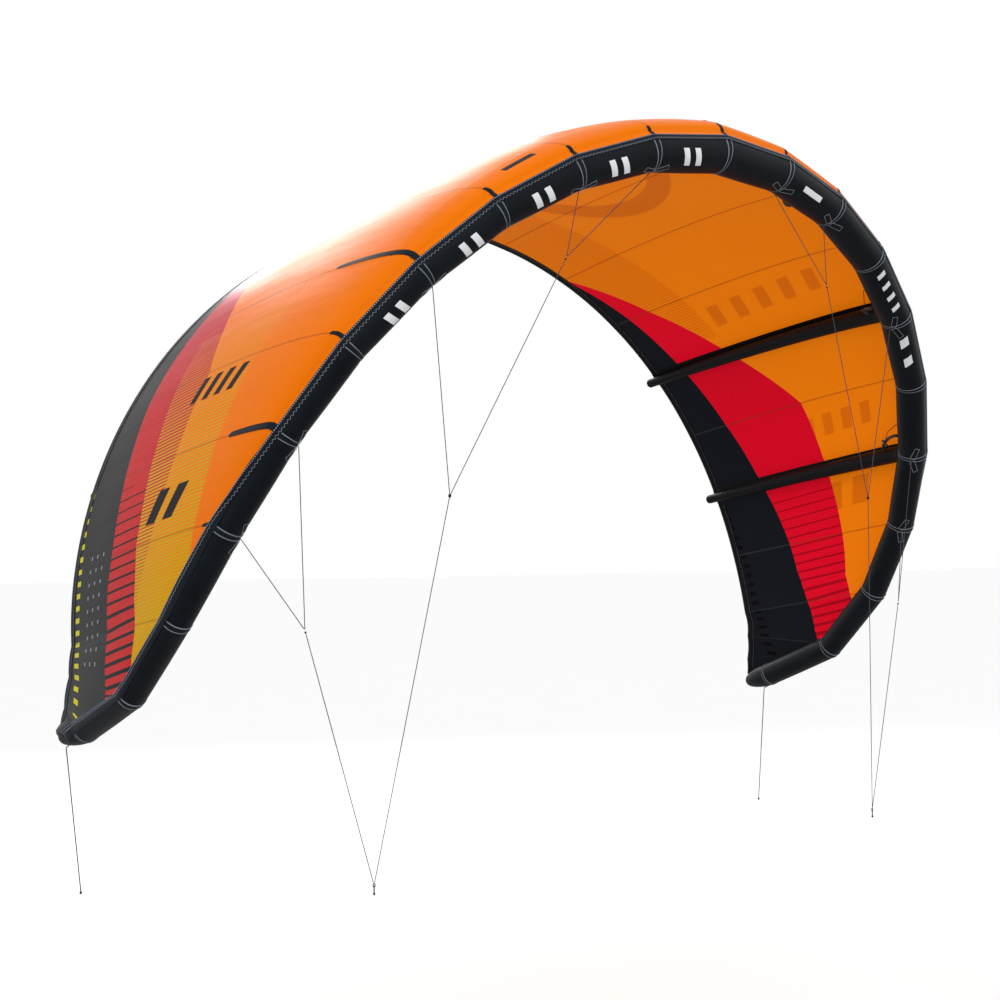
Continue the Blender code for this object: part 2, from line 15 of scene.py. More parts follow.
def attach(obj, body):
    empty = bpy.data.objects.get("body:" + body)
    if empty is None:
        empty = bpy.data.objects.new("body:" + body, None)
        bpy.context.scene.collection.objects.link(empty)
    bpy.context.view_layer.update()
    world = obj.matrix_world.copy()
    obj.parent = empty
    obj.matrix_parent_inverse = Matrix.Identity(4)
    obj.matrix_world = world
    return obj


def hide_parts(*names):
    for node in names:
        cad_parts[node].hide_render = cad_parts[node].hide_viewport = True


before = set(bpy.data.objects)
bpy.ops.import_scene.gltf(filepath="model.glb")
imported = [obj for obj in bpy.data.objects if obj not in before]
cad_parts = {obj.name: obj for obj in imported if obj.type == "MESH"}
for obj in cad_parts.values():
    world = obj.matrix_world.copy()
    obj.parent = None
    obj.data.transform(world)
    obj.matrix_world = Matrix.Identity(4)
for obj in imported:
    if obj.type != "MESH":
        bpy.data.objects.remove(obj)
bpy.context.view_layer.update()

# The wing's driving dimensions, in metres and degrees.
PANELS = 10
PANEL_LENGTH = 0.325
PANEL_GROWTH = 0.33
ARC_DEG = 92.0
ARC_POWER = 1.3
SWEEP_DEG = 40.6
TIP_SWEEP_DEG = 44.7
TIP_SWEEP_POWER = 7.3
LAST_SEAM_RADIUS = 0.0528
RADIUS_GAIN = 0.0208
RADIUS_POWER = 1.2
TUBE_END = (1.791, 1.702, -2.098)
TUBE_END_STATION = 1.1
TRAILING_DROP = 0.121
TRAILING_Y = (1.836, 0.228, -0.238)
TRAILING_H = (0.235, -0.176, -0.126)
TRAILING_G = (0.107, -0.102)
TRAILING_BEND_STATION = 0.8
TRAILING_CORNER = (1.795, 1.716, -2.078)
CORNER_STATION = 1.08
FRONT_ANGLE = -0.45
CAMBER = (0.057, -0.053)
CAMBER_POWER = 0.45
CLOTH_GAP = 0.003
CLOTH = 0.0016
HEM_WIDTH = 0.040
HEM_MOST = 0.35  # the hem is never a larger share of the chord than this
STRUTS = {"centre": 0.0, "inner": 0.4, "outer": 0.6}
STRUT_FRONT_RADIUS = 0.037
STRUT_REAR_RADIUS = 0.021
STRUT_OVERHANG = 0.032
LINE_DIAMETER = 0.003
CLOTH_METRES = 3.7  # metres of cloth along the span for one unit of station, for patterns
TUBE_METRES = 3.9  # the same for the tube
STITCH_LIFT = 0.0022
TAPE_THICKNESS = 0.0012

# Angle round the tube, from outward towards the back, at which the joint tape begins.
JOINT_STATIONS = (0.0, 0.4, 0.5, 0.6, 0.63, 0.67, 0.7, 0.76, 0.88, 0.93, 1.0, 1.08)
JOINT_DEGREES = (-41.0, -41.0, -38.0, -33.0, -22.0, -8.0, 10.0, 20.0, 20.0, 46.0, 50.0, 20.0)
JOINT_WIDTH = 0.021

# Bridle points of the right wing; the left wing mirrors them.
UPPER_JUNCTION = (0.643, 0.074, -0.421)
MIDDLE_JUNCTION = (1.034, 0.233, -1.235)
LOWER_JUNCTION = (1.467, 0.458, -1.673)
FRONT_ATTACHMENT = (1.234, 0.422, -2.534)
BACK_ATTACHMENT = (1.814, 1.618, -2.128)
BACK_LINE_END = (1.762, 1.618, -2.664)
KNOT_RADIUS = 0.006


# ================================================================ shape of the wing


def unit(vectors):
    """Each vector divided by its length."""
    vectors = np.asarray(vectors, float)
    return vectors / np.linalg.norm(vectors, axis=-1, keepdims=True)


def turn_angle(station):
    """Turn of the cloth's outward direction: the arc angle times 1 - (1 - |t|)^1.3."""
    left = np.clip(1 - np.abs(station), 0, 1)
    return math.radians(ARC_DEG) * (1 - left**ARC_POWER)


def seam_centres():
    """Tube centres at the seams: straight steps summed, each turned by the arc and sweep."""
    middle = (np.arange(PANELS) + 0.5) / PANELS
    length = PANEL_LENGTH * (1 + PANEL_GROWTH * middle**2)
    turn = turn_angle(middle)
    sweep = np.radians(SWEEP_DEG * middle + TIP_SWEEP_DEG * middle**TIP_SWEEP_POWER)
    across = np.cos(turn) * np.cos(sweep)
    steps = np.stack([across, np.sin(sweep), -np.sin(turn) * np.cos(sweep)], axis=1)
    seams = np.cumsum(steps * length[:, None], axis=0)
    return np.vstack([np.zeros((1, 3)), seams, TUBE_END])


SEAMS = seam_centres()
SEAM_STATIONS = np.append(np.arange(PANELS + 1) / PANELS, TUBE_END_STATION)


def mirrored(points, station):
    """Points of the right half turned over to the left where the station is negative."""
    side = np.where(np.asarray(station) < 0, -1.0, 1.0)
    return points * np.stack([side, np.ones_like(side), np.ones_like(side)], axis=-1)


def tube_centre(station):
    """The tube's centre: straight between seams."""
    far = np.abs(np.asarray(station, float))
    centre = [np.interp(far, SEAM_STATIONS, SEAMS[:, axis]) for axis in range(3)]
    return mirrored(np.stack(centre, axis=-1), station)


def tube_radius(station):
    """The tube's radius, which falls towards the tip and tapers past the last seam."""
    far = np.abs(np.asarray(station, float))
    radius = LAST_SEAM_RADIUS + RADIUS_GAIN * np.clip(1 - far, 0, 1) ** RADIUS_POWER
    past = np.clip((far - 1) / (TUBE_END_STATION - 1), 0, 1)
    return radius * (1 - 0.5 * past**2)


def tube_axis(station, step=0.004):
    """The tube's direction, halving the kink at a seam."""
    station = np.asarray(station, float)
    ahead = np.minimum(station + step, TUBE_END_STATION)
    behind = np.maximum(station - step, -TUBE_END_STATION)
    before = tube_centre(station) - tube_centre(behind)
    after = tube_centre(ahead) - tube_centre(station)
    return unit(before + after)


def outward(station):
    """The cloth's outward direction, square to +Y."""
    turn = turn_angle(station)
    normal = np.stack([np.sin(turn), np.zeros_like(turn), np.cos(turn)], axis=-1)
    return mirrored(normal, station)


def sideways(station):
    """The direction along the arc towards the tip, square to +Y."""
    turn = turn_angle(station)
    along = np.stack([np.cos(turn), np.zeros_like(turn), -np.sin(turn)], axis=-1)
    return mirrored(along, station)


def tube_frame(station):
    """The directions square to the tube's axis: outward and back."""
    axis, normal = tube_axis(station), outward(station)
    up = unit(normal - axis * np.sum(normal * axis, axis=-1, keepdims=True))
    back = np.cross(up, axis)
    return up, back * np.where(back[..., 1:2] < 0, -1.0, 1.0)


def tube_point(station, angle, above=0.0):
    """A point on the tube: the angle turns from outward (0) through back (90 degrees)."""
    station, angle = np.broadcast_arrays(np.asarray(station, float), angle)
    up, back = tube_frame(station)
    circle = up * np.cos(angle)[..., None] + back * np.sin(angle)[..., None]
    return tube_centre(station) + circle * (tube_radius(station) + above)[..., None]


def swept_trailing_edge(station):
    """The trailing edge away from the tips, by its offsets back, outward and sideways."""
    far = np.asarray(station, float)
    back = np.array([0.0, math.cos(TRAILING_DROP), -math.sin(TRAILING_DROP)])
    centre = tube_centre(far)
    y, h, g = TRAILING_Y, TRAILING_H, TRAILING_G
    reach = y[0] + y[1] * far**2 + y[2] * far**4 - centre @ back
    height = h[0] + h[1] * far + h[2] * far**2
    side = g[0] * far + g[1] * far**2
    edge = centre + back * reach[..., None]
    return edge + outward(far) * height[..., None] + sideways(far) * side[..., None]


def trailing_edge(station):
    """The trailing edge; near the tip it runs on a cubic curve down to the corner."""
    far = np.abs(np.asarray(station, float))
    edge = swept_trailing_edge(np.minimum(far, TRAILING_BEND_STATION))
    bend = np.array(TRAILING_BEND_STATION)
    start = swept_trailing_edge(bend)
    corner = np.array(TRAILING_CORNER)
    slope = unit(start - swept_trailing_edge(bend - 0.02))
    span = CORNER_STATION - TRAILING_BEND_STATION
    u = np.clip((far - TRAILING_BEND_STATION) / span, 0, 1)[..., None]
    size = np.linalg.norm(corner - start)
    end_slope = unit(corner - start - 0.15 * size * slope)
    cubic = (2 * u**3 - 3 * u**2 + 1) * start + (u**3 - 2 * u**2 + u) * size * slope
    cubic = cubic + (3 * u**2 - 2 * u**3) * corner + (u**3 - u**2) * size * end_slope
    return mirrored(np.where(u > 0, cubic, edge), station)


def front_edge(station):
    """Where the cloth is sewn to the tube, forward of its outermost line."""
    radius = (tube_radius(station) + CLOTH_GAP)[..., None]
    forward = np.array([0.0, 1.0, 0.0]) * math.sin(FRONT_ANGLE)
    return tube_centre(station) + radius * (outward(station) * math.cos(FRONT_ANGLE) + forward)


def chord_at(station):
    """Straight distance from the front edge to the trailing edge."""
    station = np.asarray(station, float)
    return np.linalg.norm(trailing_edge(station) - front_edge(station), axis=-1)


def billow(station, chordwise):
    """How far the cloth bulges outward between the struts and between the panel seams.

    Between struts it is a share of the chord times a sine squared along the span and a
    half sine along the chord. Between seams it is a parabola a few millimetres high,
    which fades out at the tube as 1 - exp(-20 s)."""
    far = np.abs(station)
    marks = np.array([0.0, 0.4, 0.6, CORNER_STATION])
    bay = np.clip(np.searchsorted(marks, far, side="right") - 1, 0, 2)
    across = (far - marks[bay]) / (marks[bay + 1] - marks[bay])
    depth = np.array([0.009, 0.005, 0.005])[bay]
    fade = np.sin(math.pi * np.clip(chordwise, 0, 1))
    within = (far * PANELS) % 1.0
    panel = 4 * within * (1 - within) * np.clip(0.0085 - 0.0035 * far, 0, 1)
    panel = panel * (1 - np.exp(-20 * np.maximum(chordwise, 0)))
    return depth * np.sin(math.pi * across) ** 2 * fade * chord_at(station) + panel


def cloth_point(station, chordwise, below=0.0):
    """The cloth: a straight chord raised by s^0.45 (1 - s) times the camber, plus the billow."""
    station, chordwise = np.broadcast_arrays(np.asarray(station, float), chordwise)
    front, rear = front_edge(station), trailing_edge(station)
    chord = np.linalg.norm(rear - front, axis=-1)
    peak = CAMBER_POWER / (1 + CAMBER_POWER)
    top = peak**CAMBER_POWER * (1 - peak)
    shape = np.maximum(chordwise, 0) ** CAMBER_POWER * np.maximum(1 - chordwise, 0) / top
    rise = (CAMBER[0] + CAMBER[1] * np.minimum(np.abs(station), 1)) * chord * shape
    rise = rise + billow(station, chordwise) - below
    along = chordwise[..., None]
    point = front * (1 - along) + rear * along + outward(station) * rise[..., None]
    return clear_of_tube(point, station, CLOTH_GAP - below)


def clear_of_tube(point, station, gap):
    """Points moved straight out from the tube's centre where they come too near it."""
    along, centre = tube_axis(station), tube_centre(station)
    away = point - centre
    away = away - along * np.sum(away * along, axis=-1, keepdims=True)
    distance = np.linalg.norm(away, axis=-1, keepdims=True)
    least = (tube_radius(station) + gap)[..., None]
    return point + away / distance * np.maximum(least - distance, 0)


def front_angle(station):
    """The angle round the tube at which the cloth's front edge sits."""
    up, back = tube_frame(station)
    reach = front_edge(station) - tube_centre(station)
    return np.arctan2(np.sum(reach * back, axis=-1), np.sum(reach * up, axis=-1))


def joint_line(station):
    """Where colour gives way to the black joint tape: metres behind the front edge."""
    angle = np.radians(np.interp(np.abs(station), JOINT_STATIONS, JOINT_DEGREES))
    return (angle - front_angle(station)) * tube_radius(station)


def joint_point(station, reach, lift=0.0):
    """A point near the joint: reach is metres back over the cloth, or forward if negative."""
    station, reach, lift = np.broadcast_arrays(np.asarray(station, float), reach, lift)
    radius, axis = tube_radius(station), tube_axis(station)
    angle = front_angle(station) + np.minimum(reach, 0) / radius
    gap = CLOTH_GAP * np.clip(1 + reach / 0.05, 0.4, 1)
    slide = np.sum((front_edge(station) - tube_centre(station)) * axis, axis=-1, keepdims=True)
    on_tube = clear_of_tube(tube_point(station, angle, gap) + axis * slide, station, 0.001)
    on_tube = on_tube + unit(on_tube - tube_centre(station)) * lift[..., None]
    on_cloth = cloth_point(station, np.maximum(reach, 0) / chord_at(station))
    on_cloth = on_cloth + outward(station) * lift[..., None]
    return np.where(reach[..., None] < 0, on_tube, on_cloth)


def hem_share(station):
    """The share of the chord that the rear hem covers."""
    return np.minimum(HEM_WIDTH / chord_at(station), HEM_MOST)


def metres_per_station(station):
    """Length of the tube for one unit of station: a panel's length times the panels."""
    return PANEL_LENGTH * (1 + PANEL_GROWTH * station**2) * PANELS


# ================================================================ mesh tools


def volume_of(points, quads):
    """Six times the volume inside the faces, as a sign test for their direction."""
    a, b, c, d = (points[quads[:, k]] for k in range(4))
    return np.sum(np.cross(a, b) * c) + np.sum(np.cross(a, c) * d)


def grid_object(name, points, wrap=False, ends=None, uv=None, values=None, material=None, sharp=60):
    """A mesh on a grid of rows and columns.

    wrap joins the last column to the first. ends closes the first and last rows: "fan"
    with one face each, "thin" with a strip between the two halves of a flat loop."""
    rows, columns, _ = points.shape
    index = np.arange(rows * columns).reshape(rows, columns)
    right = np.roll(index, -1, axis=1) if wrap else index[:, 1:]
    left = index if wrap else index[:, :-1]
    quads = np.stack([left[:-1], right[:-1], right[1:], left[1:]], axis=-1).reshape(-1, 4)
    flat = points.reshape(-1, 3)
    half = columns // 2
    near = np.arange(half - 1)
    strip = np.stack([near, columns - 1 - near, columns - 2 - near, near + 1], axis=-1)
    strips = np.vstack([index[0][strip], index[-1][strip[:, ::-1]]])
    body = np.vstack([quads, strips]) if ends == "thin" else quads
    flip = (wrap or ends) and volume_of(flat - flat.mean(axis=0), body) < 0
    faces = (body[:, ::-1] if flip else body).tolist()
    if ends == "fan":
        first, last = index[0][::-1].tolist(), index[-1].tolist()
        faces += [first[::-1], last[::-1]] if flip else [first, last]
    mesh = bpy.data.meshes.new(name)
    mesh.from_pydata(flat.tolist(), [], faces)
    if uv is not None:
        add_uv(mesh, uv, rows, columns, wrap)
    for key, value in (values or {}).items():
        layer = mesh.attributes.new(key, "FLOAT", "POINT")
        value = np.broadcast_to(value, (rows, columns)).astype(np.float32)
        layer.data.foreach_set("value", value.ravel())
    mesh.shade_smooth()
    mesh.set_sharp_from_angle(angle=math.radians(sharp))
    item = bpy.data.objects.new(name, mesh)
    bpy.context.scene.collection.objects.link(item)
    if material:
        mesh.materials.append(material)
    return item


def add_uv(mesh, uv, rows, columns, wrap):
    """Writes a grid of pattern coordinates; a wrapped grid has one more column of them."""
    layer = mesh.uv_layers.new(name="cloth")
    corner = np.empty(len(mesh.loops), np.int64)
    mesh.loops.foreach_get("vertex_index", corner)
    row, column = np.divmod(corner, columns)
    start = np.empty(len(mesh.polygons), np.int64)
    total = np.empty(len(mesh.polygons), np.int64)
    mesh.polygons.foreach_get("loop_start", start)
    mesh.polygons.foreach_get("loop_total", total)
    face = np.repeat(np.arange(len(start)), total)
    if wrap:
        low = np.minimum.reduceat(column, start)[face]
        high = np.maximum.reduceat(column, start)[face]
        closing = (column == 0) & (high == columns - 1) & (low == 0) & (total[face] == 4)
        column = np.where(closing, columns, column)
    wide = columns + (1 if wrap else 0)
    grid = np.broadcast_to(uv, (rows, wide, 2)).reshape(-1, 2)
    layer.data.foreach_set("uv", grid[row * wide + column].astype(np.float32).ravel())


def ribbon(name, top, thickness, outward_way, material, uv=None):
    """A flat band: a grid of its top side, given a thickness against outward_way."""
    bottom = (top - outward_way * thickness)[:, ::-1]
    points = np.concatenate([top, bottom], axis=1)
    if uv is not None:
        uv = np.concatenate([uv, uv[:, ::-1], uv[:, :1]], axis=1)
    return grid_object(name, points, wrap=True, ends="thin", uv=uv, material=material, sharp=40)


def frames_along(path, hint):
    """Directions up and across at each point of a path, up being nearest to hint."""
    along = unit(np.gradient(path, axis=0))
    hint = np.broadcast_to(hint, path.shape)
    up = unit(hint - along * np.sum(hint * along, axis=1, keepdims=True))
    return along, up, np.cross(along, up)


def round_path(name, path, radius, hint, sides, material):
    """A closed round bar: a circle carried along a path."""
    _, up, across = frames_along(path, hint)
    angle = 2 * math.pi * np.arange(sides) / sides
    radius = np.broadcast_to(radius, len(path))[:, None, None]
    circle = up[:, None] * np.cos(angle)[:, None] + across[:, None] * np.sin(angle)[:, None]
    points = path[:, None] + radius * circle
    length = np.concatenate([[0], np.cumsum(np.linalg.norm(np.diff(path, axis=0), axis=1))])
    turn = np.arange(sides + 1) / sides
    uv = np.stack(np.broadcast_arrays(length[:, None], turn[None, :]), axis=-1)
    return grid_object(name, points, wrap=True, ends="fan", uv=uv, material=material)


def settle(item, slot, body, *nodes):
    """Hides the CAD nodes that a piece stands for and puts the piece on the body that it rides on; slot is
    not used.
    """
    if nodes:
        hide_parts(*nodes)
    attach(item, body)


def filled(corners, rows, columns):
    """A grid of places spread evenly between four corners, as one array for each number."""
    u, v = np.linspace(0, 1, rows)[:, None], np.linspace(0, 1, columns)[None, :]
    return [
        (a * (1 - u) + b * u) * (1 - v) + (d * (1 - u) + c * u) * v
        for a, b, c, d in zip(*corners)
    ]


def joined(name, items):
    """Several pieces made one object, each still its own closed body."""
    first = items[0]
    with bpy.context.temp_override(active_object=first, selected_editable_objects=items, object=first):
        bpy.ops.object.join()
    first.name = name
    first.data.name = name
    return first


# ================================================================ materials


class Nodes:
    """A material's node tree, built by short calls that each return an output socket."""

    def __init__(self, name):
        self.material = bpy.data.materials.new(name)
        self.material.use_nodes = True
        self.tree = self.material.node_tree
        self.shader = self.tree.nodes["Principled BSDF"]

    def put(self, socket, value):
        if isinstance(value, bpy.types.NodeSocket):
            self.tree.links.new(value, socket)
        else:
            socket.default_value = value

    def math(self, operation, a, b=0.5, c=0.5):
        node = self.tree.nodes.new("ShaderNodeMath")
        node.operation = operation
        for socket, value in zip(node.inputs, (a, b, c)):
            self.put(socket, value)
        return node.outputs[0]

    def times(self, a, b):
        return self.math("MULTIPLY", a, b)

    def less(self, value, edge):
        return self.math("LESS_THAN", value, edge)

    def split(self, vector):
        node = self.tree.nodes.new("ShaderNodeSeparateXYZ")
        self.put(node.inputs[0], vector)
        return node.outputs

    def uv(self):
        node = self.tree.nodes.new("ShaderNodeUVMap")
        node.uv_map = "cloth"
        return self.split(node.outputs[0])[:2]

    def place(self):
        node = self.tree.nodes.new("ShaderNodeTexCoord")
        return node.outputs["Object"]

    def value(self, name):
        node = self.tree.nodes.new("ShaderNodeAttribute")
        node.attribute_name = name
        return node.outputs["Fac"]

    def vector(self, x, y, z=0.0):
        node = self.tree.nodes.new("ShaderNodeCombineXYZ")
        for socket, value in zip(node.inputs, (x, y, z)):
            self.put(socket, value)
        return node.outputs[0]

    def noise(self, vector, scale, detail=3.0, rough=0.5):
        node = self.tree.nodes.new("ShaderNodeTexNoise")
        self.put(node.inputs["Vector"], vector)
        node.inputs["Scale"].default_value = scale
        node.inputs["Detail"].default_value = detail
        node.inputs["Roughness"].default_value = rough
        return node.outputs["Fac"]

    def mix(self, factor, a, b):
        node = self.tree.nodes.new("ShaderNodeMix")
        node.data_type = "RGBA"
        self.put(node.inputs["Factor"], factor)
        self.put(node.inputs[6], a if isinstance(a, bpy.types.NodeSocket) else (*a, 1.0))
        self.put(node.inputs[7], b if isinstance(b, bpy.types.NodeSocket) else (*b, 1.0))
        return node.outputs[2]

    def span(self, value, low, high, to_low=0.0, to_high=1.0):
        node = self.tree.nodes.new("ShaderNodeMapRange")
        for socket, number in zip(node.inputs, (value, low, high, to_low, to_high)):
            self.put(socket, number)
        return node.outputs[0]

    def above(self, value, edge=0.0):
        return self.math("GREATER_THAN", value, edge)

    def between(self, value, low, high):
        return self.times(self.above(value, low), self.less(value, high))

    def all_of(self, *factors):
        product = factors[0]
        for factor in factors[1:]:
            product = self.times(product, factor)
        return product

    def stripes(self, value, pitch, share):
        """1 over the first share of every pitch."""
        part = self.math("FRACT", self.math("DIVIDE", value, pitch))
        return self.less(part, share)

    def weave(self, x, y, pitch):
        """Crossed sines of one pitch, from 0 to 1, like the yarns of a plain weave."""
        turn = 2 * math.pi / pitch
        across = self.math("SINE", self.times(x, turn))
        down = self.math("SINE", self.times(y, turn))
        return self.math("MULTIPLY_ADD", self.times(across, down), 0.5, 0.5)

    def bump(self, height, distance, strength, normal=None):
        node = self.tree.nodes.new("ShaderNodeBump")
        node.inputs["Strength"].default_value = strength
        node.inputs["Distance"].default_value = distance
        self.put(node.inputs["Height"], height)
        if normal is not None:
            self.put(node.inputs["Normal"], normal)
        return node.outputs[0]

    def finish(self, colour, roughness, normal=None, **fixed):
        self.put(self.shader.inputs["Base Color"], colour)
        self.put(self.shader.inputs["Roughness"], roughness)
        if normal is not None:
            self.put(self.shader.inputs["Normal"], normal)
        for name, value in fixed.items():
            self.shader.inputs[name.replace("_", " ")].default_value = value
        return self.material


ORANGE_TOP = (0.90, 0.195, 0.001)
# The inner side's orange and red are brighter than the outer side's: painted light that shines through the
# cloth.
ORANGE_UNDER_WITH_PAINTED_BACKLIGHT = (0.98, 0.245, 0.002)
RED_TOP = (0.56, 0.010, 0.024)
RED_UNDER_WITH_PAINTED_BACKLIGHT = (0.78, 0.002, 0.020)
DARK_TOP = (0.025, 0.026, 0.027)
DARK_BELOW = (0.006, 0.008, 0.012)
YELLOW = (0.64, 0.37, 0.001)


def under_prints(n, far, chordwise):
    """Plain shapes that show through from the outer side: an arc, and rows of bars."""
    across = n.math("DIVIDE", far, 0.155)
    along = n.math("DIVIDE", n.math("SUBTRACT", chordwise, 0.56), 0.24)
    circle = n.math("SQRT", n.math("ADD", n.times(across, across), n.times(along, along)))
    shown = n.between(circle, 0.80, 1.0)
    slant = n.math("MULTIPLY_ADD", chordwise, -0.02, far)
    rows = (
        (0.312, 0.344, 0.27, 0.70, 0.090, 0.45),
        (0.515, 0.545, 0.24, 0.60, 0.080, 0.5),
        (0.615, 0.655, 0.22, 0.48, 0.130, 0.6),
    )
    for start, end, front, rear, pitch, share in rows:
        within = n.all_of(n.between(slant, start, end), n.between(chordwise, front, rear))
        shown = n.math("MAXIMUM", shown, n.times(within, n.stripes(chordwise, pitch, share)))
    return shown


def canopy_cloth():
    """Ripstop printed in colour bands; the underside shows the print darker, and has painted light: its
    orange and red are brightened and it glows faintly, standing in for light that shines through the cloth.
    """
    n = Nodes("canopy_ripstop")
    station, signed = n.uv()
    far = n.math("ABSOLUTE", station)
    under = n.less(signed, 0.0)
    chordwise = n.math("ABSOLUTE", signed)
    red, dark = n.above(n.value("red_edge")), n.above(n.value("dark_edge"))
    place = n.place()
    cloudy = n.noise(place, 2.2, 3.0, 0.55)
    fine = n.noise(place, 260.0, 2.0, 0.6)

    # Outer side: orange, then yellow lines that thicken towards the tip.
    upper = n.mix(n.times(cloudy, 0.35), ORANGE_TOP, (0.82, 0.145, 0.002))
    upper = n.mix(red, upper, RED_TOP)
    bend, strokes, dashes = n.value("bend"), n.value("stripe_count"), n.value("dash_count")
    share = n.span(far, 0.45, 0.80, 0.12, 0.88)
    field_rear = n.value("field_rear")
    field = n.all_of(n.above(n.value("field_front")), n.above(field_rear), n.above(far, 0.43))
    fine_ribs = n.all_of(n.stripes(bend, 0.0024, 0.45), n.span(far, 0.42, 0.6, 0.0, 0.22))
    upper = n.mix(fine_ribs, upper, (0.70, 0.12, 0.003))
    lines = n.all_of(field, n.stripes(bend, 0.0045, share))
    upper = n.mix(lines, upper, YELLOW)
    stripe_share = n.span(far, 0.61, 0.92, 0.10, 0.40)
    red_stripes = n.stripes(strokes, 1.0, stripe_share)
    red_only = n.all_of(red, n.less(field_rear, 0.0), n.above(far, 0.618), red_stripes)
    upper = n.mix(red_only, upper, (0.010, 0.014, 0.014))
    upper = n.mix(dark, upper, DARK_TOP)
    rear = n.value("rear")
    dash_half = n.span(far, 0.60, 0.90, 0.010, 0.028)
    near_dash = n.less(n.math("ABSOLUTE", n.value("dash_side")), dash_half)
    dash = n.all_of(n.stripes(dashes, 1.0, 0.42), n.between(far, 0.60, 0.985), near_dash)
    upper = n.mix(dash, upper, (0.70, 0.60, 0.004))
    rows = n.all_of(n.stripes(dashes, 1.07, 0.27), n.between(far, 0.68, 0.87))
    inset = n.math("MULTIPLY_ADD", far, -0.10, rear)
    columns = n.math("ADD", n.between(inset, 0.100, 0.112), n.between(inset, 0.155, 0.167))
    columns = n.math("ADD", columns, n.between(inset, 0.212, 0.224))
    upper = n.mix(n.all_of(rows, columns), upper, (0.26, 0.27, 0.28))
    # A lighter strip along the front of the outer side that fades towards the tips: a painted highlight
    # where the cloth passes over the tube.
    band = n.all_of(n.between(chordwise, 0.066, 0.082), n.span(far, 0.15, 0.42, 0.30, 0.0))
    upper = n.mix(band, upper, (1.0, 0.36, 0.10))
    label = n.all_of(n.between(station, -0.264, -0.226), n.between(chordwise, 0.030, 0.046))
    upper = n.mix(label, upper, (0.02, 0.02, 0.02))

    # Inner side: the same bands seen through the cloth, with darker printed lines; its orange and red are
    # brighter than the outer side's, painted light that shines through the cloth.
    lower = n.mix(n.times(cloudy, 0.4), ORANGE_UNDER_WITH_PAINTED_BACKLIGHT, (0.86, 0.190, 0.002))
    ribs = n.all_of(n.stripes(far, 0.0033, 0.45), n.above(far, 0.40))
    ribs_share = n.times(ribs, n.span(far, 0.40, 0.75, 0.05, 0.55))
    lower = n.mix(ribs_share, lower, (0.66, 0.120, 0.002))
    patch = n.all_of(n.between(far, 0.07, 0.37), n.above(n.value("lines_edge")))
    patch = n.times(patch, n.stripes(far, 0.0042, 0.45))
    lower = n.mix(n.times(patch, 0.6), lower, (0.60, 0.100, 0.002))
    lower = n.mix(n.times(under_prints(n, far, chordwise), 0.55), lower, (0.58, 0.105, 0.002))
    lower = n.mix(red, lower, RED_UNDER_WITH_PAINTED_BACKLIGHT)
    red_ribs = n.all_of(red, ribs)
    lower = n.mix(n.times(red_ribs, 0.35), lower, (0.36, 0.002, 0.012))
    tip_ribs = n.all_of(red, n.above(far, 0.62), red_stripes)
    lower = n.mix(n.times(tip_ribs, 0.7), lower, (0.22, 0.001, 0.008))
    lower = n.mix(dark, lower, DARK_BELOW)
    lower = n.mix(n.times(n.all_of(dash, dark), 0.8), lower, (0.001, 0.001, 0.001))

    colour = n.mix(under, upper, lower)
    seam = n.math("PINGPONG", n.times(far, float(PANELS)), 0.5)
    seam = n.less(seam, 0.012)
    seam = n.all_of(seam, n.less(far, 0.97))
    pale = n.math("MAXIMUM", dark, n.above(far, 0.94))
    dark_seam = n.mix(pale, (0.22, 0.028, 0.006), (0.04, 0.045, 0.05))
    seam_colour = n.mix(under, n.mix(0.35, upper, dark_seam), n.mix(0.65, lower, dark_seam))
    colour = n.mix(seam, colour, seam_colour)
    colour = n.mix(n.times(n.span(fine, 0.35, 0.65), 0.08), colour, (0.05, 0.02, 0.01))

    # Ripstop grid, yarn and soft pulls that run along the chord.
    metres_x = n.times(station, CLOTH_METRES)
    metres_y = n.times(chordwise, n.value("chord"))
    rip_x, rip_y = (n.less(n.math("PINGPONG", way, 0.0025), 0.0004) for way in (metres_x, metres_y))
    grid = n.math("MAXIMUM", rip_x, rip_y)
    pulls = n.noise(n.vector(n.times(metres_x, 9.0), n.times(metres_y, 1.6)), 1.0, 4.0, 0.55)
    normal = n.bump(grid, 0.0002, 0.35)
    normal = n.bump(pulls, 0.012, 0.35, normal)
    normal = n.bump(seam, 0.0012, 0.6, normal)
    roughness = n.span(cloudy, 0.3, 0.7, 0.27, 0.33)
    # Painted backlight: the inner side glows faintly in its own colour, in place of light shining through
    # the cloth.
    painted_backlight_glow = n.mix(under, (0.0, 0.0, 0.0), lower)
    n.put(n.shader.inputs["Emission Color"], painted_backlight_glow)
    return n.finish(colour, roughness, normal, Specular_IOR_Level=0.025, Emission_Strength=0.30)


def woven(name, colour, lighter, pitch, roughness, sheen=0.1):
    """Woven polyester: crossed yarns laid in metres on slanting sums of x, y and z, and faint wear."""
    n = Nodes(name)
    place = n.place()
    cloudy = n.noise(place, 6.0, 4.0, 0.6)
    fleck = n.noise(place, 420.0, 2.0, 0.7)
    x, y, z = n.split(place)
    yarn = n.weave(n.math("ADD", x, y), n.math("ADD", z, y), pitch)
    shade = n.mix(n.span(cloudy, 0.3, 0.75), colour, lighter)
    shade = n.mix(n.times(n.span(fleck, 0.5, 0.8), 0.3), shade, lighter)
    height = n.math("MULTIPLY_ADD", fleck, 0.5, yarn)
    normal = n.bump(height, 0.0005, 0.4)
    rough = n.span(cloudy, 0.25, 0.75, roughness - 0.06, roughness + 0.08)
    fixed = {"Specular_IOR_Level": 0.1, "Sheen_Weight": sheen * 0.2, "Sheen_Roughness": 0.4}
    return n.finish(shade, rough, normal, **fixed)


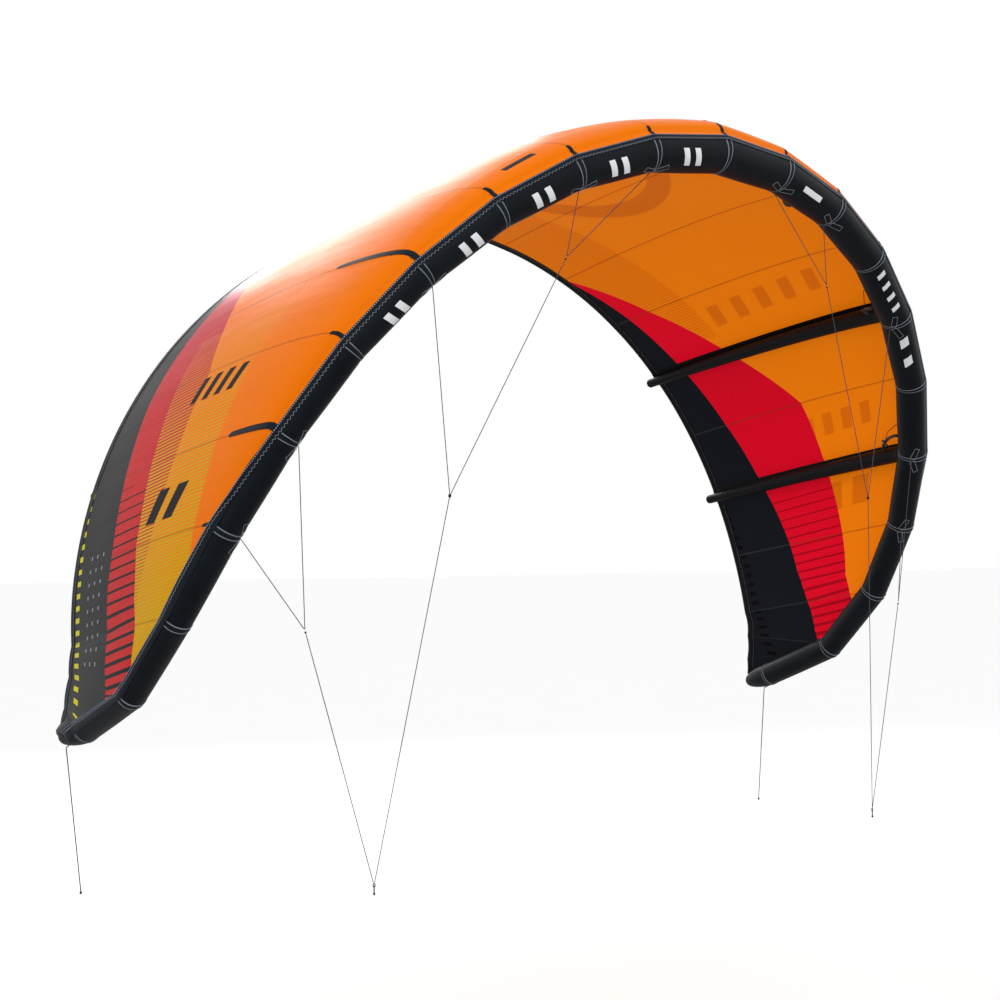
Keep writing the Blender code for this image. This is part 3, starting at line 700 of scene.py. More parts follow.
def tube_cloth():
    """The leading edge casing: blue-black woven polyester with lengthwise yarns and creases."""
    n = Nodes("black_dacron")
    station, turn = n.uv()
    place = n.place()
    metres = n.times(station, TUBE_METRES)
    round_way = n.times(turn, 0.42)
    cloudy = n.noise(place, 5.0, 4.0, 0.6)
    yarn = n.weave(metres, round_way, 0.0016)
    colour = n.mix(n.span(cloudy, 0.3, 0.75), (0.0016, 0.0034, 0.0060), (0.0036, 0.0066, 0.0110))
    seam = n.math("PINGPONG", n.times(n.math("ABSOLUTE", station), float(PANELS)), 0.5)
    crease = n.noise(n.vector(n.times(metres, 4.0), n.times(turn, 30.0)), 1.0, 3.0, 0.6)
    near_seam = n.span(seam, 0.0, 0.16, 1.0, 0.0)
    creases = n.times(crease, near_seam)
    normal = n.bump(yarn, 0.0004, 0.3)
    normal = n.bump(creases, 0.006, 0.5, normal)
    rough = n.span(cloudy, 0.25, 0.75, 0.36, 0.46)
    return n.finish(colour, rough, normal, Specular_IOR_Level=0.13)


def plain(name, colour, darker, roughness, **fixed):
    """Moulded or printed finish: slow colour change, fine grain and handling marks."""
    n = Nodes(name)
    place = n.place()
    slow = n.noise(place, 14.0, 4.0, 0.6)
    grain = n.noise(place, 1080.0, 3.0, 0.6)
    shade = n.mix(n.span(slow, 0.3, 0.75), colour, darker)
    normal = n.bump(grain, 0.0003, 0.4)
    rough = n.span(slow, 0.25, 0.75, roughness - 0.05, roughness + 0.08)
    return n.finish(shade, rough, normal, **fixed)


def braid(name, colour, darker):
    """A braided line: two sets of strands wound opposite ways, once round in every 4 mm."""
    n = Nodes(name)
    along, turn = n.uv()
    laps = n.math("DIVIDE", along, 0.004)
    left, right = (
        n.math("SINE", n.times(n.math(way, laps, turn), 2 * math.pi)) for way in ("ADD", "SUBTRACT")
    )
    strands = n.math("MAXIMUM", left, right)
    shade = n.mix(n.span(strands, -0.2, 0.9), darker, colour)
    normal = n.bump(strands, 0.0003, 0.6)
    soil = n.noise(n.place(), 30.0, 3.0, 0.6)
    shade = n.mix(n.times(soil, 0.2), shade, darker)
    return n.finish(shade, 0.62, normal, Specular_IOR_Level=0.2)


def dotted(name, colour, gap):
    """A row of stitches: thread that shows for 55% of every 9 mm and dives for the rest."""
    n = Nodes(name)
    along, turn = n.uv()
    shown = n.stripes(along, 0.009, 0.55)
    laps = n.math("ADD", n.math("DIVIDE", along, 0.002), turn)
    normal = n.bump(n.math("SINE", n.times(laps, 2 * math.pi)), 0.0002, 0.5)
    return n.finish(n.mix(shown, gap, colour), 0.6, normal, Specular_IOR_Level=0.2)


def make_materials():
    """Every finish of the kite, by name."""
    return {
        "canopy": canopy_cloth(),
        "tube": tube_cloth(),
        "strut": woven("strut_dacron", (0.0025, 0.0025, 0.0035), (0.006, 0.006, 0.008), 0.0016, 0.46),
        "hem": woven("black_hem", (0.0022, 0.0026, 0.0034), (0.005, 0.006, 0.007), 0.002, 0.50),
        "tape": woven("black_tape", (0.0040, 0.0070, 0.0120), (0.0085, 0.0130, 0.0200), 0.002, 0.48, 0.2),
        "thread": plain("grey_thread", (0.25, 0.28, 0.31), (0.17, 0.19, 0.22), 0.6, Specular_IOR_Level=0.2),
        "thread_blue": dotted("blue_thread", (0.30, 0.40, 0.55), (0.004, 0.007, 0.014)),
        "print": plain("white_print", (0.94, 0.96, 0.98), (0.84, 0.86, 0.89), 0.42),
        "print_dark": plain(
            "dark_print", (0.012, 0.014, 0.018), (0.02, 0.02, 0.025), 0.5, Specular_IOR_Level=0.04
        ),
        "outline": plain("patch_outline", (0.16, 0.02, 0.008), (0.11, 0.012, 0.006), 0.6),
        "bladder": plain("bladder_film", (0.70, 0.74, 0.78), (0.60, 0.64, 0.70), 0.25, Coat_Weight=0.3),
        "rubber": plain("black_rubber", (0.018, 0.018, 0.019), (0.028, 0.028, 0.028), 0.62),
        "plastic": plain(
            "black_plastic", (0.020, 0.020, 0.022), (0.032, 0.032, 0.034), 0.38, Coat_Weight=0.1
        ),
        "line": braid("grey_line", (0.105, 0.105, 0.125), (0.045, 0.045, 0.055)),
        "webbing": woven("black_webbing", (0.012, 0.012, 0.013), (0.03, 0.03, 0.032), 0.003, 0.65, 0.3),
    }


# ================================================================ canopy


# Colour boundaries of one wing: pairs of station and chordwise place, straight in between.
RED_EDGE = (
    (0.1, 1.15), (0.2, 0.985), (0.3, 0.85), (0.4, 0.685), (0.5, 0.51), (0.6, 0.455), (0.7, 0.385),
    (0.768, 0.32), (0.8, 0.252), (0.838, 0.135), (0.85, 0.098), (0.88, -0.03), (0.95, -0.3),
)
DARK_EDGE = (
    (0.1, 1.15), (0.2, 0.985), (0.3, 0.93), (0.4, 0.882), (0.5, 0.835), (0.6, 0.765), (0.7, 0.675),
    (0.745, 0.635), (0.775, 0.592), (0.805, 0.54), (0.84, 0.462), (0.872, 0.37), (0.9, 0.25), (0.94, -0.05),
)
LINES_EDGE = ((0.1, 0.80), (0.2, 0.77), (0.3, 0.72), (0.4, 0.68))
FIELD_FRONT = ((0.4, 0.32), (0.5, 0.29), (0.6, 0.235), (0.7, 0.105), (0.8, -0.1))
FIELD_REAR = (
    (0.4, 0.75), (0.5, 0.68), (0.6, 0.60), (0.7, 0.485), (0.768, 0.345),
    (0.8, 0.258), (0.838, 0.14), (0.85, 0.103), (0.88, -0.02),
)
DASH_LINE = (
    (0.6, 0.976), (0.65, 0.966), (0.72, 0.936), (0.8, 0.915), (0.866, 0.862),
    (0.9, 0.82), (0.93, 0.735), (0.96, 0.58), (0.98, 0.40),
)


def boundary(far, pairs):
    """A colour boundary's chordwise place: straight from one pair to the next."""
    return np.interp(far, *zip(*pairs))


def make_canopy(looks):
    """The cloth as one closed sheet: its outer side from rear to front, then its inner side."""
    columns, rows = 325, 96
    station = np.linspace(-CORNER_STATION, CORNER_STATION, columns)[:, None]
    spread = np.linspace(0, 1, rows) ** 1.35
    rear = 1 - 0.3 * hem_share(station)
    chordwise = spread[None, :] * rear
    forward = np.minimum(joint_line(station), 0) - 0.008
    share = np.linspace(1, 0, 5)[None, :-1]
    outer, inner = (
        np.hstack([joint_point(station, forward * share, -deep), cloth_point(station, chordwise, deep)])
        for deep in (0.0, CLOTH)
    )
    points = np.concatenate([outer[:, ::-1], inner], axis=1)
    chordwise = np.concatenate([0 * forward * share, chordwise], axis=1)
    rows = rows + share.size
    both = np.concatenate([chordwise[:, ::-1], chordwise], axis=1)
    sign = np.concatenate([np.full(rows, 1.0), np.full(rows, -1.0)])[None, :]
    signed = np.where(sign > 0, both + 1e-4, -both - 1e-4)
    signed = np.concatenate([signed, signed[:, :1]], axis=1)
    uv = np.stack(np.broadcast_arrays(station, signed), axis=-1)
    far = np.abs(station)
    slope = np.interp(far, [0.77, 0.89], [0.012, 0.065])
    bend = far - slope * both
    chord = chord_at(station)
    values = {
        "bend": bend,
        "stripe_count": np.interp(bend, [0.0, 0.79, 0.95], [0.0, 54.5, 62.7]),
        "dash_count": np.interp(far, [0.604, 0.80, 0.978], [0.0, 12.1, 18.0]),
        "dash_side": (both - boundary(far, DASH_LINE)) * chord,
        "red_edge": both - boundary(far, RED_EDGE),
        "dark_edge": both - boundary(far, DARK_EDGE),
        "lines_edge": both - boundary(far, LINES_EDGE),
        "field_front": both - boundary(far, FIELD_FRONT),
        "field_rear": boundary(far, FIELD_REAR) - both,
        "rear": (1 - both) * chord,
        "chord": chord,
    }
    canopy = grid_object("canopy", points, True, "thin", uv, values, looks["canopy"], 75)
    nodes = [f"canopy_{bay}_{side}" for bay in ("centre", "mid", "tip") for side in ("left", "right")]
    settle(canopy, "canopy_ripstop", "kite", *nodes)
    return canopy


def make_hem(looks):
    """The folded rear hem: a flat band with a round back edge, and its two rows of stitches."""
    station = np.linspace(-CORNER_STATION, CORNER_STATION, 433)[:, None]
    start = 1 - hem_share(station)
    across = np.linspace(0, 1, 7)[None, :]
    chordwise = start + (1 - start) * across
    thick = 0.0022 * np.sqrt(np.clip(1 - across**6, 0, 1)) + 0.0004
    top = cloth_point(station, chordwise) + outward(station) * (thick * 0.5)[..., None]
    bottom = cloth_point(station, chordwise) - outward(station) * (thick * 0.5 + CLOTH)[..., None]
    points = np.concatenate([top, bottom[:, ::-1]], axis=1)
    hem = grid_object("rear_hem", points, True, "thin", material=looks["hem"], sharp=50)
    settle(hem, "black_hem", "kite", "trailing_edge_hem")
    rows = []
    for place in (0.12, 0.86):
        line = np.linspace(-1.06, 1.06, 900)
        begin = 1 - hem_share(line)
        for side, lift in (("top", STITCH_LIFT), ("under", -STITCH_LIFT - CLOTH)):
            path = cloth_point(line, begin + (1 - begin) * place) + outward(line) * lift
            rows.append(round_path(f"hem_{side}_{place}", path, 0.0005, outward(line), 4, looks["thread"]))
    stitches = joined("hem_stitches", rows)
    settle(stitches, "black_hem", "kite")


def cloth_patch(corners, material):
    """A flat print on the outer side of the cloth between four corners in station and chordwise."""
    lift = 0.0006
    station, chordwise = filled(corners, 6, 6)
    way = outward(station)
    return ribbon("print", cloth_point(station, chordwise) + way * lift, lift * 0.8, way, material)


def make_prints(looks):
    """Plain slanted bars and blocks printed on the outer side of both wings."""
    rows = (
        (0.508, (0.30, 0.36, 0.42, 0.48), 0.030, 0.012, 0.028),
        (0.640, (0.28, 0.39), 0.038, 0.015, 0.060),
    )
    for side, sign in (("left", -1), ("right", 1)):
        made = []
        for station, starts, tall, lean, wide in rows:
            near, far = sign * station, sign * (station + tall)
            for s in starts:
                corners = ((near, s), (far, s + lean), (far, s + lean + wide), (near, s + wide))
                made.append(cloth_patch(corners, looks["print_dark"]))
        settle(joined("cloth_bars_" + side, made), "canopy_ripstop", "kite")


# ================================================================ leading edge


def make_tube(looks):
    """The casing: straight cones between seams, a little full in each, pinched at the seam."""
    sides = 64
    inner = np.concatenate([np.linspace(k, k + 1, 15)[:-1] for k in range(10)] + [[10]]) / PANELS
    near = np.array([0.0015, 0.004])
    extra = np.concatenate([inner[::14][:, None] + near, inner[::14][1:, None] - near], axis=None)
    end = 1 + 0.1 * np.sin(np.linspace(0, 1, 14) * math.pi / 2)
    far = np.unique(np.concatenate([inner, extra[extra < 1], end]))
    station = np.concatenate([-far[:0:-1], far])[:, None]
    turn = np.arange(sides) / sides
    seam = np.abs(station) * PANELS
    distance = np.abs(seam - np.rint(seam)) / PANELS
    pinch = 0.0008 * np.sin(math.pi * (seam % 1)) ** 2 - 0.0016 * np.exp(-((distance / 0.004) ** 2))
    points = tube_point(station, turn[None, :] * 2 * math.pi, pinch)
    past = np.clip((np.abs(station) - 1) / 0.1, 0, 1)
    close = np.sqrt(np.clip(1 - past**24, 0.0, 1.0))[..., None] * 0.98 + 0.02
    points = tube_centre(station) + (points - tube_centre(station)) * close
    uv = np.stack(np.broadcast_arrays(station, (np.arange(sides + 1) / sides)[None, :]), axis=-1)
    tube = grid_object("leading_edge_casing", points, True, "fan", uv, material=looks["tube"])
    settle(tube, "black_dacron", "kite", "leading_edge_centre", "leading_edge_left", "leading_edge_right")


def tube_band(name, station, width, above, stop, material):
    """A flat band round the tube, from its outermost line to an angle in degrees."""
    angle = np.radians(np.linspace(0, stop, 40))[:, None]
    across = station + np.array([-0.5, -0.3, 0.3, 0.5])[None, :] * width
    lift = np.array([-0.001, above, above, -0.001])[None, :]
    top = tube_point(across, angle, lift)
    below = tube_point(across, angle, lift - TAPE_THICKNESS)
    points = np.concatenate([top, below[:, ::-1]], axis=1)
    return grid_object(name, points, True, "thin", material=material, sharp=50)


def make_seams(looks):
    """Two rows of stitches round the tube at each seam, with the seam tape between them."""
    tapes, threads = [], []
    for k in range(-PANELS, PANELS + 1):
        seam = k / PANELS
        length = metres_per_station(seam)
        joint = joint_line(np.array(seam)) / tube_radius(seam) + front_angle(np.array(seam))
        stop = 360 + math.degrees(float(joint - JOINT_WIDTH / tube_radius(seam)))
        tapes.append(tube_band(f"tape_{k}", seam, 0.021 / length, 0.0007, stop + 4, looks["tape"]))
        for offset in (-0.0078, 0.0078):
            place, width = seam + offset / length, 0.0034 / length
            threads.append(tube_band(f"row_{k}", place, width, 0.0016, stop, looks["thread"]))
    settle(joined("seam_tapes", tapes), "black_dacron", "kite")
    settle(joined("seam_stitches", threads), "black_dacron", "kite")


def make_joint_tape(looks):
    """The band that covers the joint of cloth and tube, with its zigzag and dotted stitches."""
    station = np.linspace(-1.075, 1.075, 431)[:, None]
    joint = joint_line(station)
    front = np.minimum(joint - JOINT_WIDTH - 0.006, -0.010)
    across = np.linspace(0, 1, 9)[None, :]
    reach = joint * (1 - across) + front * across
    lift = 0.0004 + 0.0008 * np.sin(math.pi * np.clip(across * 1.2 - 0.1, 0, 1)) ** 0.5
    top = joint_point(station, reach, lift)
    tape = ribbon("joint_tape", top, TAPE_THICKNESS, unit(top - tube_centre(station)), looks["tape"])
    settle(tape, "black_dacron", "kite")
    count = 960
    line = np.linspace(-1.05, 1.05, count)
    swing = np.where(np.arange(count) % 2 == 0, -0.0032, 0.0032)
    path = joint_point(line, joint_line(line) - JOINT_WIDTH + swing, STITCH_LIFT)
    zigzag = round_path("zigzag", path, 0.0012, path - tube_centre(line), 4, looks["thread"])
    fine = np.linspace(-1.05, 1.05, 860)
    edge = joint_point(fine, joint_line(fine) - 0.004, 0.0016)
    dots = round_path("dots", edge, 0.0019, edge - tube_centre(fine), 4, looks["thread_blue"])
    stitches = joined("joint_stitches", [zigzag, dots])
    settle(stitches, "black_dacron", "kite")


def make_top_tapes(looks):
    """Black tapes on the outer side that run back from the tube at the seams and struts."""
    tapes = {0: 0.05, 1: 0.028, 2: 0.035, 3: 0.045, 4: 0.0, 5: 0.045, 6: 0.0, 7: 0.030}
    long_tapes = {4: 0.235, 6: 0.175}
    for side, sign in (("left", -1), ("right", 1)):
        made = []
        for seam, beyond in tapes.items():
            if seam == 0 and sign > 0:
                continue
            station = np.array(sign * seam / PANELS)
            joint = float(joint_line(station))
            end = joint + beyond
            if seam in long_tapes:
                end = long_tapes[seam] * float(chord_at(station))
            along = np.linspace(0, 1, 30)[:, None]
            reach = (joint - JOINT_WIDTH - 0.004) * (1 - along) + end * along
            wide = {4: 0.0115, 6: 0.0135}.get(seam, 0.0080)
            taper = 1 - 0.25 * along**3 - 0.75 * np.clip(along - 0.96, 0, 1) / 0.04
            half = wide / metres_per_station(float(station))
            across = station + np.array([-1.0, -0.5, 0.0, 0.5, 1.0])[None, :] * half * taper
            top = joint_point(across, reach, 0.0020)
            away = unit(top - tube_centre(across))
            made.append(ribbon(f"top_tape_{seam}", top, TAPE_THICKNESS, away, looks["tape"]))
        whole = joined("top_tapes_" + side, made)
        settle(whole, "black_dacron", "kite")


def tube_patch(corners, material):
    """A flat print on the tube between four corners in station and degrees round the tube."""
    lift = 0.0022
    station, degrees = filled(corners, 5, 8)
    angle = np.radians(degrees)
    top, below = tube_point(station, angle, lift), tube_point(station, angle, lift * 0.2)
    points = np.concatenate([top, below[:, ::-1]], axis=1)
    return grid_object("print", points, True, "thin", material=material, sharp=40)


def make_tube_prints(looks):
    """Plain white bars and blocks on the front of the tube, leaning along it."""
    pairs = [seam + shift for seam in (-0.45, -0.35, -0.256, -0.157, -0.057) for shift in (-0.010, 0.006)]
    rows = (
        (pairs, 0.0075, 0.004, -88, -138),
        ((0.128,), 0.032, 0.0, -106, -124),
        ((0.312, 0.330, 0.348, 0.366), 0.006, 0.003, -108, -140),
        ((0.418, 0.446), 0.012, 0.004, -118, -150),
    )
    made = []
    for starts, wide, lean, high, low in rows:
        for t in starts:
            corners = ((t, high), (t + wide, high), (t + wide + lean, low), (t + lean, low))
            made.append(tube_patch(corners, looks["print"]))
    settle(joined("tube_prints", made), "black_dacron", "kite")


def outline_patch(station, angle, turn, material):
    """A stitched rectangle on the tube: a thin bar round a reinforcement patch."""
    length, width = 0.055, 0.020
    scale = metres_per_station(station)
    radius = float(tube_radius(station))
    corner = np.array([(0, -1), (1, -1), (1, 1), (0, 1), (0, -1)], float)
    corner = corner * [length, width / 2]
    cos, sin = math.cos(turn), math.sin(turn)
    x = corner[:, 0] * cos - corner[:, 1] * sin
    y = corner[:, 0] * sin + corner[:, 1] * cos
    steps = np.linspace(0, 4, 41)
    x, y = np.interp(steps, range(5), x), np.interp(steps, range(5), y)
    path = tube_point(station + x / scale, math.radians(angle) + y / radius, 0.0016)
    hint = path - tube_centre(np.full(len(path), station))
    return round_path("patch", path, 0.0011, hint, 4, material)


def make_bridle_patches(looks):
    """Stitched reinforcements on both sides of each bridle seam, set in a V."""
    made = []
    places = {0.1: 198, 0.2: 200, 0.4: 200, 0.6: 214, 0.7: 218}
    for seam, angle in places.items():
        for sign in (-1, 1):
            for side in (-1, 1):
                turn = math.radians(24) * side + (0 if side > 0 else math.pi)
                station = sign * seam + side * 0.002
                made.append(outline_patch(station, angle - 360, turn, looks["thread"]))
    patches = joined("bridle_patches", made)
    settle(patches, "black_dacron", "kite")


# ================================================================ struts


def strut_line(station, chordwise):
    """A strut's centre under the cloth and its radius, at chordwise places."""
    radii = STRUT_FRONT_RADIUS + (STRUT_REAR_RADIUS - STRUT_FRONT_RADIUS) * chordwise**1.2
    flat = np.full(len(chordwise), float(station))
    return cloth_point(flat, chordwise, CLOTH) - outward(flat) * (radii + 0.0016)[:, None], radii


def make_strut(name, station, looks, mirror=False):
    """A strut: a round bar under the cloth that tapers back, with its rounded rear cap."""
    sign = -1.0 if mirror else 1.0
    station = sign * station
    sweep = math.asin(abs(float(tube_axis(abs(station))[1])))
    near = float(tube_radius(station)) * (1 / math.cos(sweep) - math.sin(FRONT_ANGLE)) - 0.012
    front = near / float(chord_at(station))
    chordwise = np.concatenate([np.linspace(front, 0.12, 8)[:-1], np.linspace(0.12, 1.0, 60)])
    centres, radii = strut_line(station, chordwise)
    swell = 1 + 0.10 * np.exp(-((chordwise - front) / 0.02) ** 2)
    back = unit(centres[-1] - centres[-2])
    past = np.linspace(0.05, 1, 12)
    cap = radii[-1] * np.sqrt(np.clip(1 - past**8, 0.004, 1))
    path = np.vstack([centres, centres[-1] + back * (past * STRUT_OVERHANG)[:, None]])
    radii = np.concatenate([radii * swell, cap])
    hint = outward(np.full(len(path), station))
    casing = round_path("strut_casing_" + name, path, radii, hint, 32, looks["strut"])
    settle(casing, "black_dacron", "kite", "strut_" + name)
    flaps = []
    for side in (-1, 1):
        s = chordwise[4:][:, None]
        across = station + np.array([0.012, 0.034, 0.042])[None, :] / CLOTH_METRES * side
        drop = outward(across) * np.array([0.004, 0.0014, 0.0012])[None, :, None]
        top = cloth_point(across, np.broadcast_to(s, (len(s), 3)), CLOTH) - drop
        flaps.append(ribbon("flap", top, 0.0009, -outward(across), looks["strut"]))
    for place in (0.055, 0.075, 0.095):
        k = int(np.argmin(np.abs(chordwise - place)))
        flaps.append(strap_ring(path, radii, k, station, looks["webbing"]))
    trim = joined("strut_trim_" + name, flaps)
    settle(trim, "black_dacron", "kite")


def strap_ring(path, radii, k, station, material):
    """A narrow strap round a strut."""
    along, up, across = frames_along(path, outward(np.full(len(path), station)))
    centre, r = path[k], radii[k] + 0.0012
    angle = np.linspace(-2.2, 2.2, 24) + math.pi
    circle = up[k] * np.cos(angle)[:, None] + across[k] * np.sin(angle)[:, None]
    offsets = np.array([-0.006, 0.006])
    top = centre + circle[:, None] * r + along[k] * offsets[None, :, None]
    return ribbon("strap", top, 0.001, np.broadcast_to(circle[:, None], top.shape), material)


def corner_patch(station, side, looks):
    """The outline of the reinforcement where a strut meets the tube, on the inner side."""
    t = station + side * np.array([0.012, 0.030, 0.046, 0.046])
    s = np.array([0.26, 0.235, 0.12, 0.07]) / float(chord_at(station))
    steps = np.linspace(0, 3, 40)
    line_t, line_s = np.interp(steps, range(4), t), np.interp(steps, range(4), s)
    path = cloth_point(line_t, line_s, CLOTH) - outward(line_t) * 0.001
    return round_path("corner", path, 0.0014, outward(line_t), 4, looks["outline"])


def make_corner_patches(looks):
    """Reinforcement outlines beside the struts, on both wings."""
    made = [corner_patch(sign * station, -sign, looks) for station in (0.4, 0.6) for sign in (-1, 1)]
    whole = joined("corner_patches", made)
    settle(whole, "canopy_ripstop", "kite")


# ================================================================ lines


def tube_foot(station, toward, away=0.003):
    """Where a bridle line leaves the tube's surface on its way to a point."""
    centre, axis = tube_centre(station), tube_axis(station)
    out = np.asarray(toward) - centre
    out = unit(out - axis * (out @ axis))
    return centre + out * (float(tube_radius(station)) + away)


def straight(start, end, start_gap=0.0, end_gap=0.0, count=12):
    """Points of a taut line, drawn back from its two ends."""
    start, end = np.asarray(start, float), np.asarray(end, float)
    along = unit(end - start)
    start, end = start + along * start_gap, end - along * end_gap
    return start + (end - start) * np.linspace(0, 1, count)[:, None]


def vee(first, corner, last):
    """A line that runs down to a junction, turns round it and runs up again."""
    down, up = straight(first, corner, 0.0, 0.006), straight(corner, last, 0.006, 0.0)
    turn = (down[-1] + up[0]) / 4 + np.asarray(corner) / 2
    return np.vstack([down, turn[None], up])


def make_line(name, path, node, body, looks, diameter):
    """A taut line on its route."""
    item = round_path(name, path, diameter / 2, (0.3, 0.9, 0.2), 8, looks["line"])
    settle(item, "grey_line", body, node)


def make_knot(name, centre, node, looks, along, radius, finish):
    """A tied knot: an oval bead with grooves that wind round it between the wraps of cord."""
    direction = unit(np.asarray(along, float))
    side = unit(np.cross(direction, (0.3, 0.8, 0.5)))
    third = np.cross(direction, side)
    u = np.linspace(0, math.pi, 13)[:, None]
    v = np.linspace(0, 2 * math.pi, 19)[None, :-1]
    groove = 1 + 0.10 * np.cos(3 * (u - v / 2) * 2)
    r = radius * groove * (0.15 + 0.85 * np.sin(u))
    along = direction * (np.cos(u) * radius * 1.25)[..., None] * np.ones_like(v)[..., None]
    circle = side * np.cos(v)[..., None] + third * np.sin(v)[..., None]
    points = np.asarray(centre) + along + r[..., None] * circle
    item = grid_object(name, points, True, "fan", material=looks[finish])
    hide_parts(node)
    return item


def make_bridle(side, sign, looks):
    """One wing's bridle: two forked lines, three runs between knots and the run to the tip."""
    flip = np.array([sign, 1.0, 1.0])
    upper, middle = np.array(UPPER_JUNCTION) * flip, np.array(MIDDLE_JUNCTION) * flip
    lower, attachment = np.array(LOWER_JUNCTION) * flip, np.array(FRONT_ATTACHMENT) * flip
    clear = KNOT_RADIUS + 0.0004
    below = KNOT_RADIUS + LINE_DIAMETER / 2 + 0.0008
    upper_knot = upper + unit(middle - upper) * below
    lower_knot = lower + unit(attachment - lower) * below
    knots = {}
    tied = (
        ("upper", upper_knot, middle - upper, 0.0036, "line"),
        ("middle", middle, attachment - middle, 0.0052, "webbing"),
        ("lower", lower_knot, attachment - lower, 0.0036, "line"),
    )
    for name, centre, along, size, finish in tied:
        node = f"bridle_knot_{name}_{side}"
        knots[name] = make_knot(f"knot_{name}_{side}", centre, node, looks, along, size, finish)
        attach(knots[name], "kite")
    top = [tube_foot(sign * seam, upper) for seam in (0.1, 0.2)]
    low = [tube_foot(sign * seam, lower) for seam in (0.6, 0.7)]
    foot = tube_foot(sign * 0.4, middle)
    end = 0.009
    runs = (
        ("upper", vee(top[0], upper, top[1]), "object", [knots["upper"]]),
        ("lower", vee(low[0], lower, low[1]), "object", [knots["lower"]]),
        ("middle", straight(foot, middle, 0.0, clear), "knot", [knots["middle"]]),
        ("link", straight(upper_knot, middle, clear, clear), "knot", []),
        ("main", straight(middle, attachment, clear, end), "object", []),
        ("tip", straight(lower_knot, attachment, clear, end), "object", []),
    )
    for name, path, far_end, tied_on in runs:
        node = f"bridle_{name}_{side}"
        make_line(f"line_{name}_{side}", path, node, "kite", looks, LINE_DIAMETER)
    make_front_end(side, attachment, looks)


def make_front_end(side, attachment, looks):
    """The short knotted end that a front flying line is looped on to."""
    fall = np.array([0.0, 0.0, -1.0])
    path = straight(attachment + fall * 0.002, attachment + fall * 0.026, count=9)
    cord = round_path(f"front_end_{side}", path, 0.0024, (1.0, 0.0, 0.0), 8, looks["line"])
    node = f"front_line_loop_{side}"
    knot = make_knot(f"front_knot_{side}", attachment + fall * 0.0285, node, looks, fall, 0.0042, "line")
    ring = np.linspace(0, 2 * math.pi, 21)[:, None]
    turn = attachment + np.array([0.004, 0.0, 0.0]) * np.cos(ring) + fall * np.sin(ring) * 0.006
    eye = round_path(f"front_eye_{side}", turn, 0.0020, (0.0, 1.0, 0.0), 6, looks["line"])
    whole = joined(f"front_end_{side}", [cord, knot, eye])
    settle(whole, "black_webbing", f"front_loop_{side}", node)


def make_back_line(side, sign, looks):
    """The line that hangs from the wing tip, with its stopper knot."""
    flip = np.array([sign, 1.0, 1.0])
    top, end = np.array(BACK_ATTACHMENT) * flip, np.array(BACK_LINE_END) * flip
    path = straight(top, end, 0.003, 0.0, 20)
    below, node = end - np.array([0.0, 0.0, 0.005]), f"back_stopper_{side}"
    stop = make_knot(f"stopper_{side}", below, node, looks, end - top, 0.0048, "line")
    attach(stop, f"back_pigtail_{side}")
    body = f"back_pigtail_{side}"
    make_line(f"pigtail_{side}", path, f"back_line_{side}", body, looks, 0.0042)
    angle = np.radians(np.linspace(12, -48, 12))
    wrap = tube_point(sign * np.linspace(1.030, 1.036, 12), angle, 0.0085)
    hang = np.vstack([wrap, straight(wrap[-1], top, 0.006, 0.0, 5)])
    cord = round_path(f"tip_cord_{side}", hang, 0.0021, (0.2, 1.0, 0.1), 8, looks["line"])
    settle(cord, "black_webbing", "kite", f"tip_loop_{side}")


# ================================================================ small fittings


def shade_nodes(looks):
    """Gives every CAD node that stays in view, or inside, its finish."""
    finishes = {
        "leading_edge_bladder": "bladder", "strut_bladder": "bladder", "inflation_hose": "rubber",
        "hose_clip": "plastic", "inflate_valve_base": "plastic", "inflate_valve_cap": "rubber",
        "front_line_loop": "webbing", "back_stopper": "webbing", "tip_loop": "webbing",
    }
    for name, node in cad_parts.items():
        for start, finish in finishes.items():
            if not name.startswith(start):
                continue
            for slot in node.material_slots:
                slot.material = looks[finish]
            if not node.material_slots:
                node.data.materials.append(looks[finish])


# ================================================================ view and light


def make_camera():
    """A long lens in front of the left wing, level with the middle of the arc."""
    data = bpy.data.cameras.new("camera")
    data.sensor_width = 36.0
    data.lens = 63.0
    data.clip_end = 100.0
    camera = bpy.data.objects.new("camera", data)
    right = Vector((0.80248, -0.59648, -0.01534))
    down = Vector((0.00272, 0.02936, -0.99957))
    forward = Vector((0.59667, 0.80209, 0.02519))
    turn = Matrix((right, -down, -forward)).transposed().to_4x4()
    camera.matrix_world = Matrix.Translation((-4.394, -4.565, -1.399)) @ turn
    bpy.context.scene.collection.objects.link(camera)
    bpy.context.scene.camera = camera


def area_light(name, place, target, size, power):
    data = bpy.data.lights.new(name, "AREA")
    data.shape = "DISK"
    data.size = size
    data.energy = power
    lamp = bpy.data.objects.new(name, data)
    lamp.location = place
    way = Vector(target) - Vector(place)
    lamp.rotation_euler = way.to_track_quat("-Z", "Y").to_euler()
    bpy.context.scene.collection.objects.link(lamp)


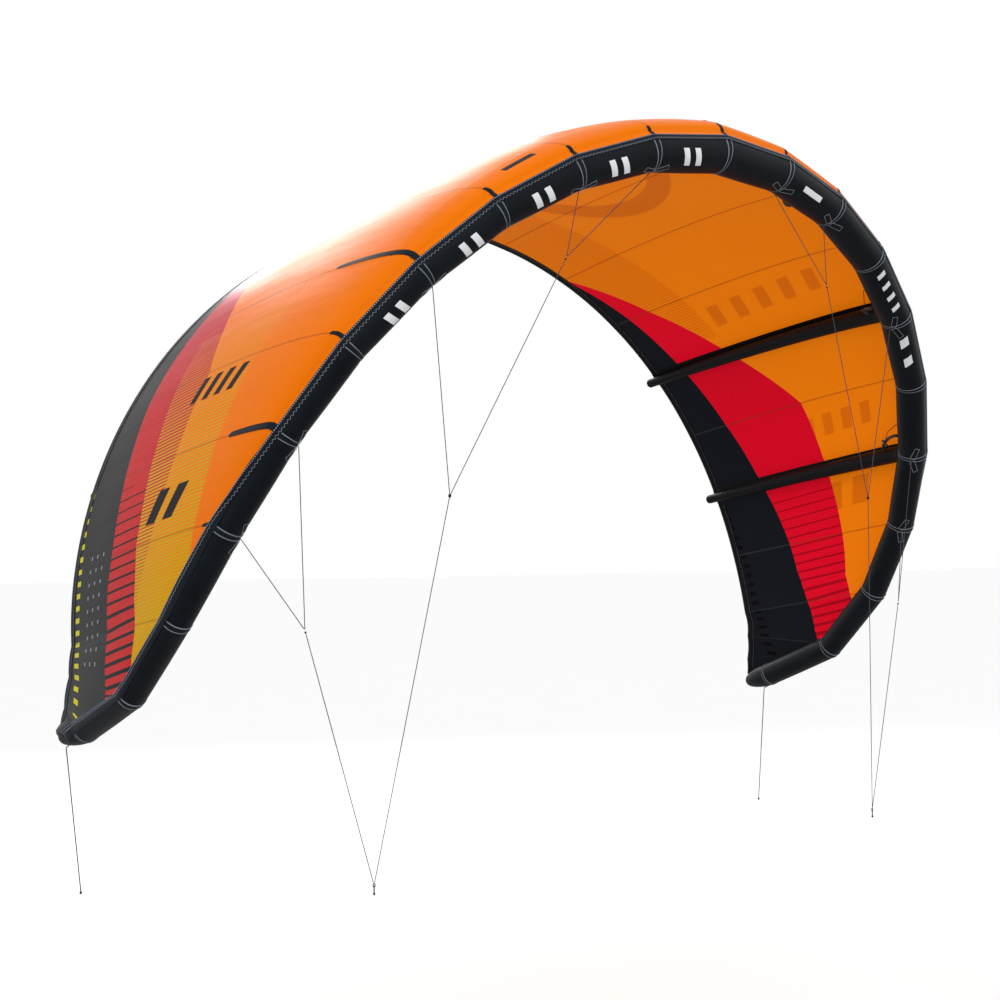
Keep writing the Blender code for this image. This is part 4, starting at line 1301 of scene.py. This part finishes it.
def make_studio():
    """A pale floor far below, a white surround that is dimmer from below, and soft lights."""
    world = bpy.data.worlds.new("studio")
    world.use_nodes = True
    tree = world.node_tree
    shade = tree.nodes["Background"]
    way = tree.nodes.new("ShaderNodeTexCoord")
    split = tree.nodes.new("ShaderNodeSeparateXYZ")
    fade = tree.nodes.new("ShaderNodeMapRange")
    tree.links.new(way.outputs["Generated"], split.inputs[0])
    tree.links.new(split.outputs["Z"], fade.inputs["Value"])
    for name, value in (("From Min", -0.30), ("From Max", -0.06), ("To Min", 0.44), ("To Max", 1.0)):
        fade.inputs[name].default_value = value
    tree.links.new(fade.outputs[0], shade.inputs["Strength"])
    shade.inputs["Color"].default_value = (1.0, 1.0, 1.0, 1.0)
    bpy.context.scene.world = world
    bpy.context.scene.view_settings.view_transform = "Standard"
    corners = [[[-90, -90, -3.2], [90, -90, -3.2]], [[-90, 90, -3.2], [90, 90, -3.2]]]
    floor = grid_object("floor", np.array(corners, float))
    floor.visible_diffuse = False
    floor.visible_glossy = False
    n = Nodes("floor")
    paper = n.noise(n.place(), 3.0, 3.0, 0.5)
    floor.data.materials.append(n.finish(n.mix(paper, (0.95, 0.95, 0.95), (0.97, 0.97, 0.97)), 0.9))
    area_light("rim", (2.4, 7.5, 3.0), (-0.8, 0.9, -0.2), 3.6, 270)
    area_light("front", (-5.5, -5.0, 3.5), (0, 0.6, -0.8), 2.5, 110)


def main():
    looks = make_materials()
    make_camera()
    for side, sign in (("right", 1.0), ("left", -1.0)):
        make_bridle(side, sign, looks)
        make_back_line(side, sign, looks)
    canopy = make_canopy(looks)
    make_hem(looks)
    make_prints(looks)
    make_tube(looks)
    make_seams(looks)
    make_joint_tape(looks)
    make_top_tapes(looks)
    make_tube_prints(looks)
    make_bridle_patches(looks)
    make_strut("centre", 0.0, looks)
    for name in ("inner", "outer"):
        make_strut(name + "_right", STRUTS[name], looks)
        make_strut(name + "_left", STRUTS[name], looks, mirror=True)
    make_corner_patches(looks)
    shade_nodes(looks)
    pieces = ["rear_hem", "hem_stitches"]
    pieces += [f"{name}_{side}" for name in ("cloth_bars", "top_tapes") for side in ("left", "right")]
    make_studio()


main()
